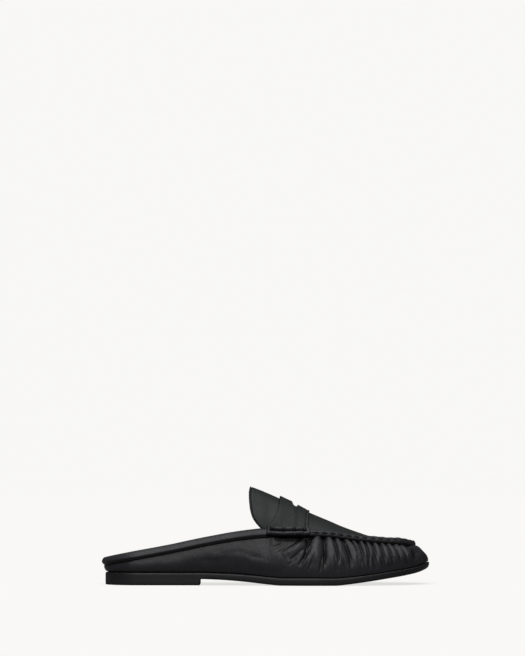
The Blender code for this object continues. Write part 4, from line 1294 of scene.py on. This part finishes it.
def soft_light(name, power, width, lean):
    """A large soft light far above, leaning towards the camera and to one side, in degrees."""
    lamp = bpy.data.lights.new(name, "SUN")
    lamp.energy = power
    lamp.angle = math.radians(width)
    light = bpy.data.objects.new(name, lamp)
    light.rotation_euler = Euler((math.radians(lean[0]), math.radians(lean[1]), 0))
    bpy.context.scene.collection.objects.link(light)


class LoaferShape(bpy.types.PropertyGroup):
    """The sizes of the shoe's soft details."""

    pleat_height: FloatProperty(
        name="Pleat height", description="From valley to ridge under the seam", default=0.0026, unit="LENGTH",
    )
    crease_depth: FloatProperty(
        name="Crease depth", description="Strength of the single creases", default=1.0, min=0.0, max=2.0,
    )
    hem_radius: FloatProperty(
        name="Feather radius", description="How roundly the wall turns under at the sole", default=0.0012,
        unit="LENGTH",
    )
    seam_height: FloatProperty(
        name="Seam height", description="How far the apron seam stands proud", default=0.0033, unit="LENGTH",
    )
    seam_pitch: FloatProperty(
        name="Seam stitch pitch", description="Distance between the hand stitches", default=0.0063, unit="LENGTH",
    )
    roll_height: FloatProperty(
        name="Roll height", description="How far the strap's rolls stand proud", default=0.0039, unit="LENGTH",
    )
    strap_thickness: FloatProperty(
        name="Strap thickness", description="Leather of the saddle strap", default=0.0016, unit="LENGTH",
    )
    tongue_thickness: FloatProperty(
        name="Tongue thickness", description="Leather and lining of the tongue", default=0.0022, unit="LENGTH",
    )
    stitch_inset: FloatProperty(
        name="Edge stitch inset", description="The tongue's stitch line from its edge", default=0.0014,
        unit="LENGTH",
    )


class LoaferFinish(bpy.types.PropertyGroup):
    """The colours and gloss of the shoe."""

    calf: FloatVectorProperty(
        name="Polished calf", description="Dye of the wall and collar", subtype="COLOR", default=linear("#141416"),
    )
    calf_highlight: FloatVectorProperty(
        name="Polished calf, worn", description="Rubbed ridges", subtype="COLOR", default=linear("#2A2A2D"),
    )
    satin: FloatVectorProperty(
        name="Satin calf", description="Dye of the apron, tongue and strap", subtype="COLOR", default=linear("#1A1B1B"),
    )
    satin_highlight: FloatVectorProperty(
        name="Satin calf, worn", description="Rubbed places", subtype="COLOR", default=linear("#222424"),
    )
    lining: FloatVectorProperty(
        name="Lining", description="Inside and footbed", subtype="COLOR", default=linear("#242322"),
    )
    sole: FloatVectorProperty(
        name="Sole edge", description="Inked sole edge", subtype="COLOR", default=linear("#161618"),
    )
    heel: FloatVectorProperty(
        name="Heel rubber", description="Top piece", subtype="COLOR", default=linear("#18181A"),
    )
    thread: FloatVectorProperty(
        name="Thread", description="Waxed sewing thread", subtype="COLOR", default=linear("#080808"),
    )
    gloss: FloatProperty(
        name="Calf roughness", description="Lower is shinier", default=0.40, min=0.05, max=1.0, subtype="FACTOR",
    )
    satin_gloss: FloatProperty(
        name="Satin roughness", description="Lower is shinier", default=0.52, min=0.05, max=1.0, subtype="FACTOR",
    )


class LoaferStage(bpy.types.PropertyGroup):
    """The studio round the shoe."""

    floor: FloatVectorProperty(
        name="Floor", description="Seamless paper", subtype="COLOR", default=linear("#6E6D6C"),
    )
    glow: FloatProperty(name="Floor glow", description="Light through the paper", default=0.70)
    horizon: FloatProperty(name="Horizon light", description="Brightness behind the shoe", default=0.94)
    sky: FloatProperty(name="Sky light", description="Brightness of the dim room", default=0.06)
    overhead: FloatProperty(name="Overhead light", description="Soft light from above", default=2.4)
    front: FloatProperty(name="Front light", description="Soft light over the camera", default=3.7)
    pitch: FloatProperty(name="Camera pitch", description="Degrees down", default=1.0)


class LOAFER_OT_stage(bpy.types.Operator):
    """Make the floor, the lights and the camera"""

    bl_idname = "loafer.stage"
    bl_label = "Stage"

    def execute(self, context):
        make_stage()
        return {"FINISHED"}


class LOAFER_OT_sole(bpy.types.Operator):
    """Make the sole, the heel block and the footbed"""

    bl_idname = "loafer.sole"
    bl_label = "Sole, heel and footbed"

    def execute(self, context):
        shape = context.scene.loafer_shape
        make_outsole(shape)
        make_heel(shape)
        make_insole(shape)
        return {"FINISHED"}


class LOAFER_OT_vamp(bpy.types.Operator):
    """Make the pleated wall of the upper"""

    bl_idname = "loafer.vamp"
    bl_label = "Pleated wall"

    def execute(self, context):
        make_vamp(context.scene.loafer_shape)
        return {"FINISHED"}


class LOAFER_OT_apron(bpy.types.Operator):
    """Make the apron over the toes"""

    bl_idname = "loafer.apron"
    bl_label = "Apron"

    def execute(self, context):
        make_apron(context.scene.loafer_shape)
        return {"FINISHED"}


class LOAFER_OT_seam(bpy.types.Operator):
    """Make the raised apron seam with its stitches"""

    bl_idname = "loafer.seam"
    bl_label = "Apron seam"

    def execute(self, context):
        make_seam(context.scene.loafer_shape)
        return {"FINISHED"}


class LOAFER_OT_tongue(bpy.types.Operator):
    """Make the tongue"""

    bl_idname = "loafer.tongue"
    bl_label = "Tongue"

    def execute(self, context):
        make_tongue(context.scene.loafer_shape)
        return {"FINISHED"}


class LOAFER_OT_strap(bpy.types.Operator):
    """Make the saddle strap and its two rolls"""

    bl_idname = "loafer.strap"
    bl_label = "Saddle strap and rolls"

    def execute(self, context):
        shape = context.scene.loafer_shape
        make_strap(shape)
        make_roll(shape, "roll_outer", OUTER, "strap_roll_outer")
        make_roll(shape, "roll_inner", INNER, "strap_roll_inner")
        return {"FINISHED"}


class LOAFER_OT_collar(bpy.types.Operator):
    """Make the collar round the quarters"""

    bl_idname = "loafer.collar"
    bl_label = "Collar"

    def execute(self, context):
        make_collar(context.scene.loafer_shape)
        return {"FINISHED"}


MAKERS = (
    LOAFER_OT_stage, LOAFER_OT_sole, LOAFER_OT_vamp, LOAFER_OT_apron, LOAFER_OT_seam, LOAFER_OT_tongue,
    LOAFER_OT_strap, LOAFER_OT_collar,
)


class LOAFER_PT_panel(bpy.types.Panel):
    """Sizes, colours and makers of the loafer mule"""

    bl_idname = "LOAFER_PT_panel"
    bl_label = "Loafer mule"
    bl_space_type = "VIEW_3D"
    bl_region_type = "UI"
    bl_category = "Loafer"

    def draw(self, context):
        scene = context.scene
        for group in (scene.loafer_shape, scene.loafer_finish, scene.loafer_stage):
            box = self.layout.box()
            for name in group.__annotations__:
                box.prop(group, name)
        for maker in MAKERS:
            self.layout.operator(maker.bl_idname)


GROUPS = (LoaferShape, LoaferFinish, LoaferStage)


def register():
    for one in GROUPS + MAKERS + (LOAFER_PT_panel,):
        bpy.utils.register_class(one)
    bpy.types.Scene.loafer_shape = PointerProperty(type=LoaferShape)
    bpy.types.Scene.loafer_finish = PointerProperty(type=LoaferFinish)
    bpy.types.Scene.loafer_stage = PointerProperty(type=LoaferStage)


def unregister():
    del bpy.types.Scene.loafer_stage
    del bpy.types.Scene.loafer_finish
    del bpy.types.Scene.loafer_shape
    for one in reversed(GROUPS + MAKERS + (LOAFER_PT_panel,)):
        bpy.utils.unregister_class(one)


def main():
    register()
    bpy.ops.loafer.stage()
    bpy.ops.loafer.sole()
    bpy.ops.loafer.vamp()
    bpy.ops.loafer.apron()
    bpy.ops.loafer.seam()
    bpy.ops.loafer.tongue()
    bpy.ops.loafer.strap()
    bpy.ops.loafer.collar()


if __name__ == "__main__":
    main()
